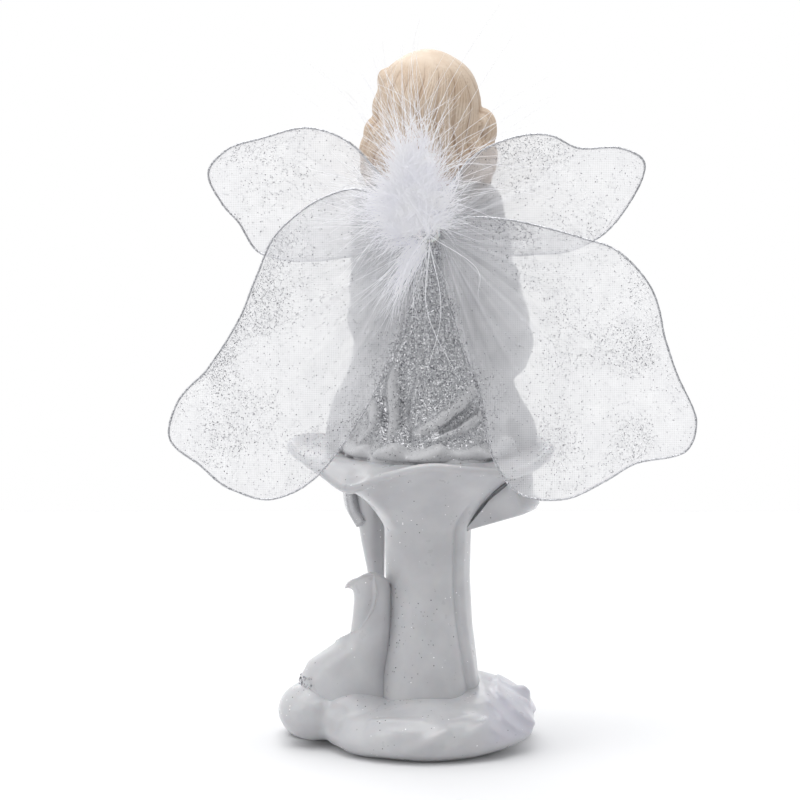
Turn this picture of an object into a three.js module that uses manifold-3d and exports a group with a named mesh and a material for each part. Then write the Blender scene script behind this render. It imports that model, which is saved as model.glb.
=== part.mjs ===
// A seated angel figurine: a girl in a glittered dress sits on a calla lily that grows out of a cloud base.
// Four gauze wings in wire frames are bound to her back, and a tuft of down feathers covers their root.
// Millimetres, +Z up. She faces -Y and her left side is +X. The origin is on the table, under the lily stem.
import * as THREE from "three";
import { mergeVertices } from "three/addons/utils/BufferGeometryUtils.js";
import Module from "manifold-3d";

const wasm = await Module();
wasm.setup();

// ---------- driving dimensions ----------
const GAP = 0.3; // clearance between pieces that touch
const FAR = 500; // half size of a block that trims everything on one side of a plane
const BASE_HEIGHT = 14;
const BASE_SPREAD = 1; // width of the cloud base, as a multiple of its drawn lumps
const STEM_RADIUS = 12.3;
const STEM_FOOT_RADIUS = 16;
const STEM_TOP = 62; // height of the stem's top above the table
const FLOWER_HEIGHT = 21; // stem top to the seat inside the lily
const RIM_RADIUS = 31; // mean radius of the lily's rim
const UNDER_PETAL_GAP = 2; // overlap petal below the lily's outer face, at the stem
const UNDER_PETAL_FALL = 13.5; // how much further below it would be at the rim
const UNDER_PETAL_SHARE = 0.8; // how far it reaches from the stem to the rim
const PETAL_THICKNESS = 1.6;
const BUD_HEIGHT = 50; // height of the small lily beside the stem, above the table
const BUD_RADIUS = 6.2;
const BUD_FOOT_REACH = 18; // half width of the small lily's sweeping foot
const SKIRT_RADIUS = 23.5; // hem of the seated skirt
const HIP_HEIGHT = 41; // seat to waist
const WAIST_RADIUS = 11;
const DRAPE_LENGTH = 31; // skirt front, from the lap down over the rim
const DRAPE_THICKNESS = 2.4;
const LEG_RADIUS = 3.2;
const LEG_LENGTH = 41; // knee to ankle
const BODICE_HEIGHT = 36; // waist to neck base
const CHEST_RADIUS = 14;
const CHEST_DEPTH = 9.2;
const NECK_RADIUS = 4.2;
const NECK_HEIGHT = 6;
const HEAD_RADIUS = 11.5;
const HEAD_HEIGHT = 29;
const HAIR_THICKNESS = 3.6;
const HAIR_SPREAD = 19.5; // half width of the hair where it ends on the shoulders
const SLEEVE_RADIUS = 5.6;
const HAND_RADIUS = 2.3;
const COLLAR_RADIUS = 4; // plug of glue that holds the wing wires in her back
const COLLAR_LENGTH = 3.4;
const BINDING_RADIUS = 2.2; // wire wrapped round the four wing stems
const BINDING_LENGTH = 10;
const WIRE_RADIUS = 0.35;
const GAUZE_THICKNESS = 0.3;
const UPPER_WING = { span: 59, rise: 27.5, tilt: 5, sweep: -4 };
const LOWER_WING = { span: 71, rise: 72, tilt: 10, sweep: 6 };
const WING_LIFT = 0.8; // wing roots above and below the binding's middle
const PLUME_RADIUS = 3.6;
const PLUME_RISE = 36; // feather tuft above the wing root
const PLUME_DROP = 19; // feather tuft below it

// ---------- heights and places that follow from them ----------
const seatTop = STEM_TOP + FLOWER_HEIGHT;
const hem = seatTop + GAP;
const waist = seatTop + HIP_HEIGHT;
const bodiceCentreY = -2;
const neckBase = waist + BODICE_HEIGHT;
const headCentre = new THREE.Vector3(0, -4, neckBase + NECK_HEIGHT + HEAD_HEIGHT / 2 - 1);
const shoulder = neckBase - 6;
const wingRootZ = waist + 24;
const collarFront = bodiceCentreY + CHEST_DEPTH - 2;
const bindingFront = collarFront + 2 + COLLAR_LENGTH + GAP;
const lowerRootY = bindingFront + BINDING_LENGTH - 2;
const upperRootY = lowerRootY - 4;
const wingRootX = BINDING_RADIUS + GAP + WIRE_RADIUS + 0.2;
const plumeY = bindingFront + BINDING_LENGTH + GAP + PLUME_RADIUS;

// ---------- materials ----------
function finish(color, roughness, metalness = 0) {
  return new THREE.MeshStandardMaterial({ color, roughness, metalness });
}

const pearl = finish(0xe4e4e5, 0.35);
const glitter = finish(0xb9babd, 0.4, 0.5);
const skin = finish(0xe9c9b4, 0.5);
const blonde = finish(0xcbb08c, 0.55);
const silverWire = finish(0x9a9b9e, 0.3, 1);
const gauze = finish(0xf2f3f5, 0.7);
const down = finish(0xf4f4f8, 0.9);
const glue = finish(0xdadada, 0.3);

// ---------- solids ----------
// A closed geometry as a solid that can be joined and cut. Faces that point inwards are turned round.
function solid(geometry) {
  geometry.deleteAttribute("normal");
  geometry.deleteAttribute("uv");
  const merged = mergeVertices(geometry, 1e-4);
  const triVerts = new Uint32Array(merged.index.array);
  const vertProperties = merged.attributes.position.array;
  const mesh = () => new wasm.Mesh({ numProp: 3, vertProperties, triVerts });
  const made = new wasm.Manifold(mesh());
  if (made.volume() > 0) return made;
  for (let i = 0; i < triVerts.length; i += 3) {
    [triVerts[i + 1], triVerts[i + 2]] = [triVerts[i + 2], triVerts[i + 1]];
  }
  return new wasm.Manifold(mesh());
}

const join = (...solids) => solids.reduce((a, b) => a.add(b));
const cut = (body, ...tools) => tools.reduce((a, b) => a.subtract(b), body);

// The largest body of a solid: what a cut trims off at an edge isn't kept.
const largest = (body) => body.decompose().reduce((a, b) => (a.volume() > b.volume() ? a : b));

function box(low, high) {
  const size = high.clone().sub(low);
  const centre = low.clone().add(high).multiplyScalar(0.5);
  return solid(new THREE.BoxGeometry(size.x, size.y, size.z).translate(centre.x, centre.y, centre.z));
}

function ellipsoid(centre, radii, segments = 24) {
  const geometry = new THREE.SphereGeometry(1, segments, segments / 2);
  return solid(geometry.scale(radii.x, radii.y, radii.z).translate(centre.x, centre.y, centre.z));
}

// A cylinder along Y.
function rod(radius, from, to, z, sides = 20) {
  const geometry = new THREE.CylinderGeometry(radius, radius, to - from, sides);
  return solid(geometry.translate(0, (from + to) / 2, z));
}

// A closed body through rings with equal numbers of points, capped at the middle of the first and last ring.
function loft(rings) {
  const count = rings[0].length;
  const middle = (ring) => ring.reduce((sum, p) => sum.add(p), new THREE.Vector3()).divideScalar(count);
  const points = [...rings.flat(), middle(rings[0]), middle(rings.at(-1))];
  const first = points.length - 2;
  const last = points.length - 1;
  const index = [];
  const top = (rings.length - 1) * count;
  for (let i = 0; i < count; i++) {
    const next = (i + 1) % count;
    for (let r = 0; r < rings.length - 1; r++) {
      const [a, b, c, d] = [r * count + i, r * count + next, (r + 1) * count + next, (r + 1) * count + i];
      index.push(a, b, c, a, c, d);
    }
    index.push(first, next, i, last, top + i, top + next);
  }
  return solid(new THREE.BufferGeometry().setFromPoints(points).setIndex(index));
}

// A level ring whose radius may change with the angle. radius takes an angle and gives [x radius, y radius].
function ring(x, y, z, radius, count = 36) {
  return Array.from({ length: count }, (_, i) => {
    const angle = (i / count) * 2 * Math.PI;
    const [rx, ry] = radius(angle);
    return new THREE.Vector3(x + rx * Math.cos(angle), y + ry * Math.sin(angle), z);
  });
}

// A body of level ellipses through stations [y, z, x radius, y radius].
const stack = (stations, grow = 0, count = 28) =>
  loft(stations.map(([y, z, rx, ry]) => ring(0, y, z, () => [rx + grow, ry + grow], count)));

// A round-ended limb through stations [x, y, z, radius].
function limb(stations, grow = 0, sides = 10, steps = 4 * (stations.length - 1)) {
  const path = new THREE.CatmullRomCurve3(stations.map(([x, y, z]) => new THREE.Vector3(x, y, z)));
  const radii = new THREE.CatmullRomCurve3(stations.map(([, , , r]) => new THREE.Vector3(r, 0, 0)));
  const frames = path.computeFrenetFrames(steps, false);
  const length = path.getLength();
  const rings = [];
  for (let s = 0; s <= steps; s++) {
    const t = s / steps;
    const centre = path.getPointAt(t);
    const full = radii.getPoint(t).x + grow;
    const toEnd = Math.min(t, 1 - t) * length + 0.15 * full;
    const radius = full * Math.sqrt(Math.min(1, 1 - (1 - Math.min(1, toEnd / full)) ** 2));
    rings.push(
      Array.from({ length: sides }, (_, i) => {
        const angle = (i / sides) * 2 * Math.PI;
        return centre
          .clone()
          .addScaledVector(frames.normals[s], radius * Math.cos(angle))
          .addScaledVector(frames.binormals[s], radius * Math.sin(angle));
      }),
    );
  }
  return loft(rings);
}

// ---------- cloud base ----------
// Round lumps of the base: middle x and y, radii, and height as a share of the base's.
const cloudLumps = [
  { x: 2, y: 8, rx: 27, ry: 23.5, share: 0.86 },
  { x: 27, y: -12, rx: 16, ry: 15, share: 1.08 },
  { x: -12, y: -9, rx: 19, ry: 23, share: 1.3 },
  { x: 8, y: -22, rx: 21, ry: 16, share: 0.95 },
  { x: 1, y: 0, rx: 24, ry: 20, share: 1.05 },
];

function cloud(grow = 0) {
  const lumps = cloudLumps.map(({ x, y, rx, ry, share }) => {
    const top = BASE_HEIGHT * share;
    const middle = 0.38 * top;
    const radii = new THREE.Vector3(rx * BASE_SPREAD + grow, ry * BASE_SPREAD + grow, top - middle + grow);
    return ellipsoid(new THREE.Vector3(x * BASE_SPREAD, y * BASE_SPREAD, middle), radii, 20);
  });
  const below = box(new THREE.Vector3(-FAR, -FAR, -FAR), new THREE.Vector3(FAR, FAR, 0));
  return cut(join(...lumps), below);
}

// ---------- calla lily ----------
function stem(grow = 0) {
  const foot = BASE_HEIGHT * 0.6;
  const side = new THREE.SplineCurve([
    new THREE.Vector2(STEM_FOOT_RADIUS + grow, foot - grow),
    new THREE.Vector2(STEM_FOOT_RADIUS - 1.6 + grow, BASE_HEIGHT + 5),
    new THREE.Vector2(STEM_RADIUS + 0.5 + grow, (BASE_HEIGHT + STEM_TOP) / 2),
    new THREE.Vector2(STEM_RADIUS + grow, STEM_TOP + grow),
  ]).getPoints(8);
  const axis = (z) => new THREE.Vector2(0, z);
  const profile = [axis(side[0].y), ...side, axis(side.at(-1).y)];
  return solid(new THREE.LatheGeometry(profile, 24).rotateX(Math.PI / 2).scale(1, -1, 1));
}

// The lily's rim, by the angle from +X: reach as a share of the mean radius, and height over the seat.
const rim = [
  { degrees: 0, reach: 1.29, lift: 4 },
  { degrees: 22, reach: 1.08, lift: -1.5 },
  { degrees: 42, reach: 1, lift: -5.5 },
  { degrees: 65, reach: 0.97, lift: -1.5 },
  { degrees: 90, reach: 0.95, lift: 1.5 },
  { degrees: 118, reach: 0.97, lift: 0 },
  { degrees: 146, reach: 1.02, lift: -1.5 },
  { degrees: 175, reach: 1.16, lift: 3 },
  { degrees: 205, reach: 1.03, lift: 4 },
  { degrees: 240, reach: 0.9, lift: -1 },
  { degrees: 275, reach: 0.86, lift: -4 },
  { degrees: 310, reach: 0.93, lift: 0 },
  { degrees: 340, reach: 1.12, lift: 4.5 },
];
const rimCurve = new THREE.CatmullRomCurve3(
  rim.map(({ degrees, reach, lift }) => {
    const angle = THREE.MathUtils.degToRad(degrees);
    const radius = RIM_RADIUS * reach;
    return new THREE.Vector3(radius * Math.cos(angle), radius * Math.sin(angle), lift);
  }),
  true,
);
const RIM_STEPS = 44;
const SEAT_SHARE = 0.68; // part of the lily's radius that the seat takes up

// A point on the lily's outer face, between the stem (share 0) and a point p of its rim (share 1).
function petalPoint(p, share, grow = 0) {
  const reach = Math.hypot(p.x, p.y);
  const radius = STEM_RADIUS + (reach - STEM_RADIUS) * share ** 1.25 + grow;
  const foot = STEM_TOP + GAP;
  const z = foot + (seatTop - PETAL_THICKNESS + p.z - foot) * (1 - (1 - share) ** 1.35) - grow;
  return new THREE.Vector3((p.x / reach) * radius, (p.y / reach) * radius, z);
}

function flower(grow = 0) {
  const edge = rimCurve.getPoints(RIM_STEPS).slice(0, RIM_STEPS);
  const shares = [0, 0.12, 0.3, 0.5, 0.7, 0.86, 1];
  const outside = shares.map((share) => edge.map((p) => petalPoint(p, share, grow)));
  const inside = [1, 0.85, SEAT_SHARE].map((share) =>
    outside.at(-1).map((p, i) => {
      const lift = edge[i].z * ((share - SEAT_SHARE) / (1 - SEAT_SHARE)) ** 1.2;
      return new THREE.Vector3(p.x * share, p.y * share, seatTop + lift + grow);
    }),
  );
  return loft([...outside, ...inside]);
}

// The free edge of the petal that wraps under the lily's front right side. It follows the lily's outer face.
function underPetal() {
  const [from, to, steps] = [0.51, 0.79, 14];
  const inner = 0.16;
  const rings = [];
  for (let s = 0; s <= steps; s++) {
    const p = rimCurve.getPoint(from + ((to - from) * s) / steps);
    const outer = UNDER_PETAL_SHARE - 0.42 * Math.abs(s / steps - 0.2);
    const face = (drop) =>
      [inner, (inner + outer) / 2, outer].map((share) => {
        const point = petalPoint(p, share);
        point.z -= drop + UNDER_PETAL_FALL * (share - inner);
        return point;
      });
    rings.push([...face(UNDER_PETAL_GAP + PETAL_THICKNESS), ...face(UNDER_PETAL_GAP).reverse()]);
  }
  return loft(rings);
}

// A small lily bud with a curled, pointed lip. Its foot sweeps out over the base.
const budStations = [
  { share: 0.2, x: 22, y: 1, rx: BUD_FOOT_REACH - 1.5, ry: 11 },
  { share: 0.32, x: 22, y: 1, rx: BUD_FOOT_REACH - 1.5, ry: 11 },
  { share: 0.44, x: 20.5, y: 2, rx: BUD_FOOT_REACH - 3.7, ry: 9.5 },
  { share: 0.555, x: 18, y: 3, rx: BUD_FOOT_REACH - 7, ry: 8 },
  { share: 0.64, x: 16.5, y: 4, rx: BUD_RADIUS + 1.3, ry: 7 },
  { share: 0.72, x: 15.5, y: 4.5, rx: BUD_RADIUS - 0.6, ry: 6.2 },
  { share: 0.84, x: 15.5, y: 5, rx: BUD_RADIUS - 0.8, ry: 5.6 },
  { share: 0.92, x: 16, y: 5, rx: BUD_RADIUS, ry: 5.4 },
  { share: 0.98, x: 15, y: 5, rx: BUD_RADIUS - 2, ry: 3.8 },
  { share: 1, x: 14.4, y: 5, rx: BUD_RADIUS - 4.4, ry: 1.6 },
];

function bud(grow = 0) {
  const lip = (angle) => 1.6 * Math.exp(-((Math.sin(angle / 2) / 0.3) ** 2));
  const rings = budStations.map(({ share, x, y, rx, ry }) => {
    const tip = (angle) => (share === 0.92 ? lip(angle) : 0);
    return ring(x, y, BUD_HEIGHT * share, (angle) => [rx + tip(angle) + grow, ry + grow], 28);
  });
  return loft(rings);
}

// ---------- dress ----------
function skirt(grow = 0) {
  return stack(
    [
      [-4, hem - grow, SKIRT_RADIUS, SKIRT_RADIUS + 0.5],
      [-5, hem + 0.15 * HIP_HEIGHT, SKIRT_RADIUS - 1, SKIRT_RADIUS - 0.5],
      [-5, hem + 0.3 * HIP_HEIGHT, SKIRT_RADIUS - 2.5, SKIRT_RADIUS - 3],
      [-2.5, hem + 0.47 * HIP_HEIGHT, SKIRT_RADIUS - 5, SKIRT_RADIUS - 8],
      [-1.2, hem + 0.68 * HIP_HEIGHT, WAIST_RADIUS + 3.5, WAIST_RADIUS + 0.5],
      [bodiceCentreY + 0.4, hem + 0.86 * HIP_HEIGHT, WAIST_RADIUS + 1, WAIST_RADIUS - 1.6],
      [bodiceCentreY, waist + grow, WAIST_RADIUS, WAIST_RADIUS - 2.5],
    ],
    grow,
    28,
  );
}

// The skirt's front, which falls from the lap over the lily's rim to her shins.
function drape(grow = 0) {
  const lapY = -SKIRT_RADIUS - 5.5;
  const top = hem + 0.26 * HIP_HEIGHT;
  const rows = [
    { y: lapY + 5.5, z: top + 1, from: -12, to: 15 },
    { y: lapY - 1.5, z: top - 1.5, from: -15, to: 18 },
    { y: lapY - 4.5, z: top - 6, from: -16, to: 21 },
    { y: lapY - 5.5, z: top - DRAPE_LENGTH * 0.6, from: -13, to: 23 },
    { y: lapY - 4.5, z: top - DRAPE_LENGTH, from: -9, to: 22 },
  ];
  const half = DRAPE_THICKNESS / 2 + grow;
  const steps = 10;
  const rings = rows.map(({ y, z, from, to }) => {
    const front = [];
    const back = [];
    for (let s = 0; s <= steps; s++) {
      const x = from - grow + ((to - from + 2 * grow) * s) / steps;
      const bow = 5 * ((2 * s) / steps - 1) ** 2;
      const pleat = 0.7 * Math.cos(s * 2.2);
      front.push(new THREE.Vector3(x, y + bow + pleat - half, z - 0.12 * x));
      back.push(new THREE.Vector3(x, y + bow + pleat + half, z - 0.12 * x));
    }
    return [...front, ...back.reverse()];
  });
  return loft(rings);
}

function bodice(grow = 0) {
  const y = bodiceCentreY;
  const at = (share) => waist + GAP + share * (BODICE_HEIGHT - GAP);
  return stack(
    [
      [y, at(0) - grow, WAIST_RADIUS, WAIST_RADIUS - 2.5],
      [y, at(0.25), WAIST_RADIUS + 1, CHEST_DEPTH - 0.5],
      [y, at(0.55), CHEST_RADIUS - 0.5, CHEST_DEPTH],
      [y, at(0.78), CHEST_RADIUS, CHEST_DEPTH - 0.6],
      [y, at(0.92), CHEST_RADIUS - 4, CHEST_DEPTH - 2.4],
      [y - 0.5, at(1) + grow, NECK_RADIUS + 1.5, NECK_RADIUS + 1],
    ],
    grow,
    24,
  );
}

// Her sleeves follow the arm from the shoulder round the elbow to the wrist, which rests over her lap.
// side is 1 for her left and -1 for her right.
const armDrop = shoulder - (hem + 0.5 * HIP_HEIGHT);
const armRoutes = {
  1: [
    [CHEST_RADIUS + 1.5, -1, shoulder, SLEEVE_RADIUS],
    [CHEST_RADIUS + 1.8, -1, shoulder - 0.28 * armDrop, SLEEVE_RADIUS],
    [CHEST_RADIUS + 2, -3, shoulder - 0.68 * armDrop, SLEEVE_RADIUS],
    [CHEST_RADIUS - 2, -14, shoulder - 0.86 * armDrop, SLEEVE_RADIUS - 0.6],
    [CHEST_RADIUS - 8, -21, shoulder - 0.92 * armDrop, SLEEVE_RADIUS - 1.4],
  ],
  "-1": [
    [-CHEST_RADIUS - 1.5, -1, shoulder, SLEEVE_RADIUS],
    [-CHEST_RADIUS - 4.5, -1, shoulder - 0.32 * armDrop, SLEEVE_RADIUS],
    [-CHEST_RADIUS - 9, -5, shoulder - 0.84 * armDrop, SLEEVE_RADIUS + 0.8],
    [-CHEST_RADIUS - 1, -19, shoulder - 0.98 * armDrop, SLEEVE_RADIUS - 0.6],
    [-CHEST_RADIUS + 6, -25, shoulder - 1.02 * armDrop, SLEEVE_RADIUS - 1.4],
  ],
};
const sleeve = (side, grow = 0) => limb(armRoutes[side], grow, 12);

function hand(side, grow = 0) {
  const [x, y, z] = armRoutes[side].at(-1);
  const reach = 4 * HAND_RADIUS;
  return limb(
    [
      [x + side * 0.2 * reach, y + 0.15 * reach, z + 0.3, HAND_RADIUS],
      [x - side * 0.35 * reach, y - 0.25 * reach, z - 0.3, HAND_RADIUS],
      [x - side * 0.7 * reach, y - 0.45 * reach, z - 1.2, HAND_RADIUS],
      [x - side * 1.1 * reach, y - 0.5 * reach, z - 2.4, HAND_RADIUS * 0.6],
    ],
    grow,
  );
}

// Lower legs with bare feet, crossed at the ankle. They hang between the lily and the skirt's front.
const legPlaces = {
  1: { x: 15.4, y: -25.5, lean: -1 },
  "-1": { x: 3.5, y: -27, lean: 5 },
};

function leg(side, grow = 0) {
  const { x, y, lean } = legPlaces[side];
  const top = seatTop - 13;
  const ankle = top - 0.85 * LEG_LENGTH;
  return limb(
    [
      [x, y, top, LEG_RADIUS],
      [x + 0.3 * lean, y + 0.5, top - 0.35 * LEG_LENGTH, LEG_RADIUS],
      [x + 0.8 * lean, y - 0.2, ankle, LEG_RADIUS * 0.62],
      [x + lean, y - 3, ankle - 5.5, LEG_RADIUS * 0.74],
      [x + lean, y - 7.5, ankle - 10.5, LEG_RADIUS * 0.5],
    ],
    grow,
    10,
    20,
  );
}

// ---------- head and hair ----------
function head(grow = 0) {
  const skull = ellipsoid(
    headCentre,
    new THREE.Vector3(HEAD_RADIUS + grow, HEAD_RADIUS * 1.08 + grow, HEAD_HEIGHT / 2 + grow),
    20,
  );
  const neck = limb(
    [
      [0, bodiceCentreY, neckBase + GAP - grow, NECK_RADIUS + 0.6],
      [0, bodiceCentreY - 0.5, neckBase + 0.5 * NECK_HEIGHT, NECK_RADIUS],
      [0, headCentre.y, headCentre.z, NECK_RADIUS],
    ],
    grow,
    12,
  );
  const nose = ellipsoid(
    headCentre.clone().add(new THREE.Vector3(0, -HEAD_RADIUS * 1.08, -0.1 * HEAD_HEIGHT)),
    new THREE.Vector3(1.3 + grow, 1.7 + grow, 2 + grow),
    12,
  );
  return join(skull, neck, nose);
}

function hair(grow = 0) {
  const { y, z } = headCentre;
  const [wide, deep] = [HEAD_RADIUS + HAIR_THICKNESS, HEAD_RADIUS * 1.08 + HAIR_THICKNESS];
  const crown = HEAD_HEIGHT / 2 + HAIR_THICKNESS;
  const dome = [0, 25, 45, 62, 76, 84].map((degrees) => {
    const [c, s] = [Math.cos((degrees * Math.PI) / 180), Math.sin((degrees * Math.PI) / 180)];
    return [y, z + crown * s, wide * c, deep * c];
  });
  const fall = [
    [y + 5.2, neckBase + 1, HAIR_SPREAD - 2.5, 6.5],
    [y + 4, neckBase + 5, HAIR_SPREAD, 9.5],
    [y + 2, z - 0.45 * crown, HAIR_SPREAD - 2, deep - 3],
    [y + 0.5, z - 0.2 * crown, (wide + HAIR_SPREAD) / 2 - 1, deep - 1],
  ];
  const mass = stack([...fall, ...dome], grow, 24);
  const face = box(
    new THREE.Vector3(-HEAD_RADIUS * 0.82 + grow, y - 2 * deep, neckBase - 5),
    new THREE.Vector3(HEAD_RADIUS * 0.82 - grow, y - 0.55 * HEAD_RADIUS, z + 0.3 * HEAD_HEIGHT),
  );
  return cut(mass, face);
}

// A lock of hair that falls in front of the shoulder.
function lock(side, grow = 0) {
  const x = side * HAIR_SPREAD;
  const { y, z } = headCentre;
  return limb(
    [
      [x * 0.68, y - 7, z - 4, 2.6],
      [x * 0.86, y - 6.5, z - 12, 3.4],
      [x * 0.8, y - 7.5, neckBase + 0.5, 3.2],
      [x * 0.68, y - 8.6, neckBase - 8, 2.6],
      [x * 0.6, y - 8.6, neckBase - 17, 1.4],
    ],
    grow,
  );
}

// ---------- wings ----------
const collar = () => cut(rod(COLLAR_RADIUS, collarFront, bindingFront - GAP, wingRootZ), bodice(GAP));
const binding = () => rod(BINDING_RADIUS, bindingFront, bindingFront + BINDING_LENGTH, wingRootZ);

// Wing outlines from the root round the tip and back to it, as shares of the span outwards and of the rise
// up. Each wing was bent by hand, so left and right differ.
const outlines = {
  upper_left: [
    [0, 0.03], [0.09, 0.32], [0.2, 0.58], [0.34, 0.88], [0.52, 1], [0.73, 0.9], [0.91, 0.77],
    [0.99, 0.55], [0.93, 0.25], [0.84, 0.03], [0.76, -0.25], [0.63, -0.33], [0.42, -0.33],
    [0.19, -0.23], [0, -0.03],
  ],
  upper_right: [
    [0, 0.03], [0.03, 0.33], [0.14, 0.68], [0.25, 0.83], [0.4, 0.93], [0.53, 0.92], [0.66, 0.79],
    [0.86, 0.79], [0.97, 0.66], [0.95, 0.42], [0.79, -0.05], [0.63, -0.23], [0.38, -0.28],
    [0.17, -0.2], [0, -0.03],
  ],
  lower_left: [
    [0, 0.012], [0.1, 0.12], [0.24, 0.18], [0.38, 0.14], [0.56, 0], [0.63, -0.15], [0.71, -0.33],
    [0.82, -0.5], [0.95, -0.64], [0.98, -0.77], [0.86, -0.88], [0.74, -0.97], [0.6, -1.01],
    [0.43, -0.94], [0.27, -0.75], [0.13, -0.5], [0.03, -0.24], [0, -0.012],
  ],
  lower_right: [
    [0, 0.012], [0.11, 0.065], [0.28, 0.06], [0.5, 0.01], [0.7, -0.06], [0.83, -0.2], [0.89, -0.4],
    [0.94, -0.54], [1.01, -0.71], [0.97, -0.82], [0.78, -0.87], [0.66, -0.94], [0.5, -1.01],
    [0.33, -0.99], [0.23, -0.87], [0.18, -0.65], [0.09, -0.41], [0.02, -0.2], [0, -0.012],
  ],
};

function wing(name, size, side, rootY, lift) {
  const path = new THREE.CatmullRomCurve3(
    outlines[name].map(([out, up]) => new THREE.Vector3(side * out * size.span, 0, up * size.rise)),
  );
  const steps = Math.round(0.45 * size.rise + 24);
  const wire = (grow = 0) => {
    const round = new THREE.Shape().absarc(0, 0, WIRE_RADIUS + grow, 0, 2 * Math.PI);
    const along = { steps, extrudePath: path, bevelEnabled: false, curveSegments: 3 };
    return solid(new THREE.ExtrudeGeometry(round, along));
  };
  const sheetShape = new THREE.Shape(path.getSpacedPoints(steps).map((p) => new THREE.Vector2(p.x, p.z)));
  const sheet = solid(
    new THREE.ExtrudeGeometry(sheetShape, { depth: GAUZE_THICKNESS, bevelEnabled: false, steps: 1 })
      .rotateX(Math.PI / 2)
      .translate(0, GAUZE_THICKNESS / 2, 0),
  );
  const group = new THREE.Group();
  group.position.set(side * wingRootX, rootY, wingRootZ + lift);
  const radians = THREE.MathUtils.degToRad;
  group.rotation.set(radians(size.tilt), 0, side * radians(size.sweep), "ZXY");
  group.add(node(name + "_wing_frame", wire(), silverWire));
  group.add(node(name + "_wing_gauze", largest(cut(sheet, wire(GAP))), gauze));
  return group;
}

// ---------- feather tuft ----------
const plumeUp = () =>
  limb([
    [0, plumeY, wingRootZ + 1.5, PLUME_RADIUS],
    [0.8, plumeY + 1, wingRootZ + 0.4 * PLUME_RISE, PLUME_RADIUS * 1.25],
    [1.6, plumeY - 1.5, wingRootZ + 0.75 * PLUME_RISE, PLUME_RADIUS * 0.8],
    [1.8, plumeY - 3, wingRootZ + PLUME_RISE, PLUME_RADIUS * 0.35],
  ]);
const plumeDown = (grow = 0) =>
  limb(
    [
      [0, plumeY + 0.4, wingRootZ - PLUME_RADIUS - 1.5, PLUME_RADIUS * 0.75],
      [0.3, plumeY + 1.6, wingRootZ - 0.6 * PLUME_DROP, PLUME_RADIUS * 0.6],
      [0.4, plumeY + 2.2, wingRootZ - PLUME_DROP, PLUME_RADIUS * 0.3],
    ],
    grow,
  );

// ---------- assembly ----------
function node(name, body, material) {
  const { vertProperties, triVerts } = body.getMesh();
  const geometry = new THREE.BufferGeometry()
    .setAttribute("position", new THREE.BufferAttribute(new Float32Array(vertProperties), 3))
    .setIndex(new THREE.BufferAttribute(new Uint32Array(triVerts), 1));
  geometry.computeVertexNormals();
  const mesh = new THREE.Mesh(geometry, material);
  mesh.name = name;
  return mesh;
}

const support = new THREE.Group();
support.add(
  node("cloud_base", cloud(), pearl),
  node("lily_stem", cut(stem(), cloud(GAP)), pearl),
  node("lily_flower", flower(), pearl),
  node("lily_under_petal", underPetal(), pearl),
  node("small_lily", largest(cut(bud(), cloud(GAP), stem(GAP))), pearl),
);

const skirtBody = () => cut(skirt(), flower(GAP));
const figure = new THREE.Group();
figure.add(
  node("skirt", skirtBody(), glitter),
  node("skirt_front", largest(cut(drape(), skirt(GAP), flower(GAP))), glitter),
  node("bodice", bodice(), glitter),
  node("head", cut(head(), bodice(GAP)), skin),
);
for (const [side, name] of [[1, "left"], [-1, "right"]]) {
  figure.add(
    node(name + "_sleeve", largest(cut(sleeve(side), bodice(GAP), skirt(GAP))), glitter),
    node(name + "_hand", largest(cut(hand(side), sleeve(side, GAP), skirt(GAP), drape(GAP))), skin),
    node(name + "_leg", largest(cut(leg(side), flower(GAP), drape(GAP), stem(GAP))), pearl),
  );
}
const garments = () => [bodice(GAP), sleeve(1, GAP), sleeve(-1, GAP)];
figure.add(node("hair", largest(cut(hair(), head(GAP), ...garments())), blonde));
for (const [side, name] of [[1, "left"], [-1, "right"]]) {
  const body = cut(lock(side), hair(GAP), head(GAP), ...garments());
  figure.add(node(name + "_hair_lock", largest(body), blonde));
}

const back = new THREE.Group();
back.add(
  node("wing_collar", largest(collar()), glue),
  node("wing_binding", binding(), silverWire),
  node("feather_tuft_up", cut(plumeUp(), plumeDown(GAP)), down),
  node("feather_tuft_down", plumeDown(), down),
  wing("upper_left", UPPER_WING, 1, upperRootY, WING_LIFT),
  wing("upper_right", UPPER_WING, -1, upperRootY, WING_LIFT),
  wing("lower_left", LOWER_WING, 1, lowerRootY, -WING_LIFT),
  wing("lower_right", LOWER_WING, -1, lowerRootY, -WING_LIFT),
);

const figurine = new THREE.Group();
figurine.add(support, figure, back);

export default figurine;
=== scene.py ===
"""A seated angel figurine on a calla lily: the looks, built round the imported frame.

Shapes are worked out in millimetres and turned into metres when a mesh is made.
She faces -Y, her left side is +X, and the main camera looks at her back.
"""
import math

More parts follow.
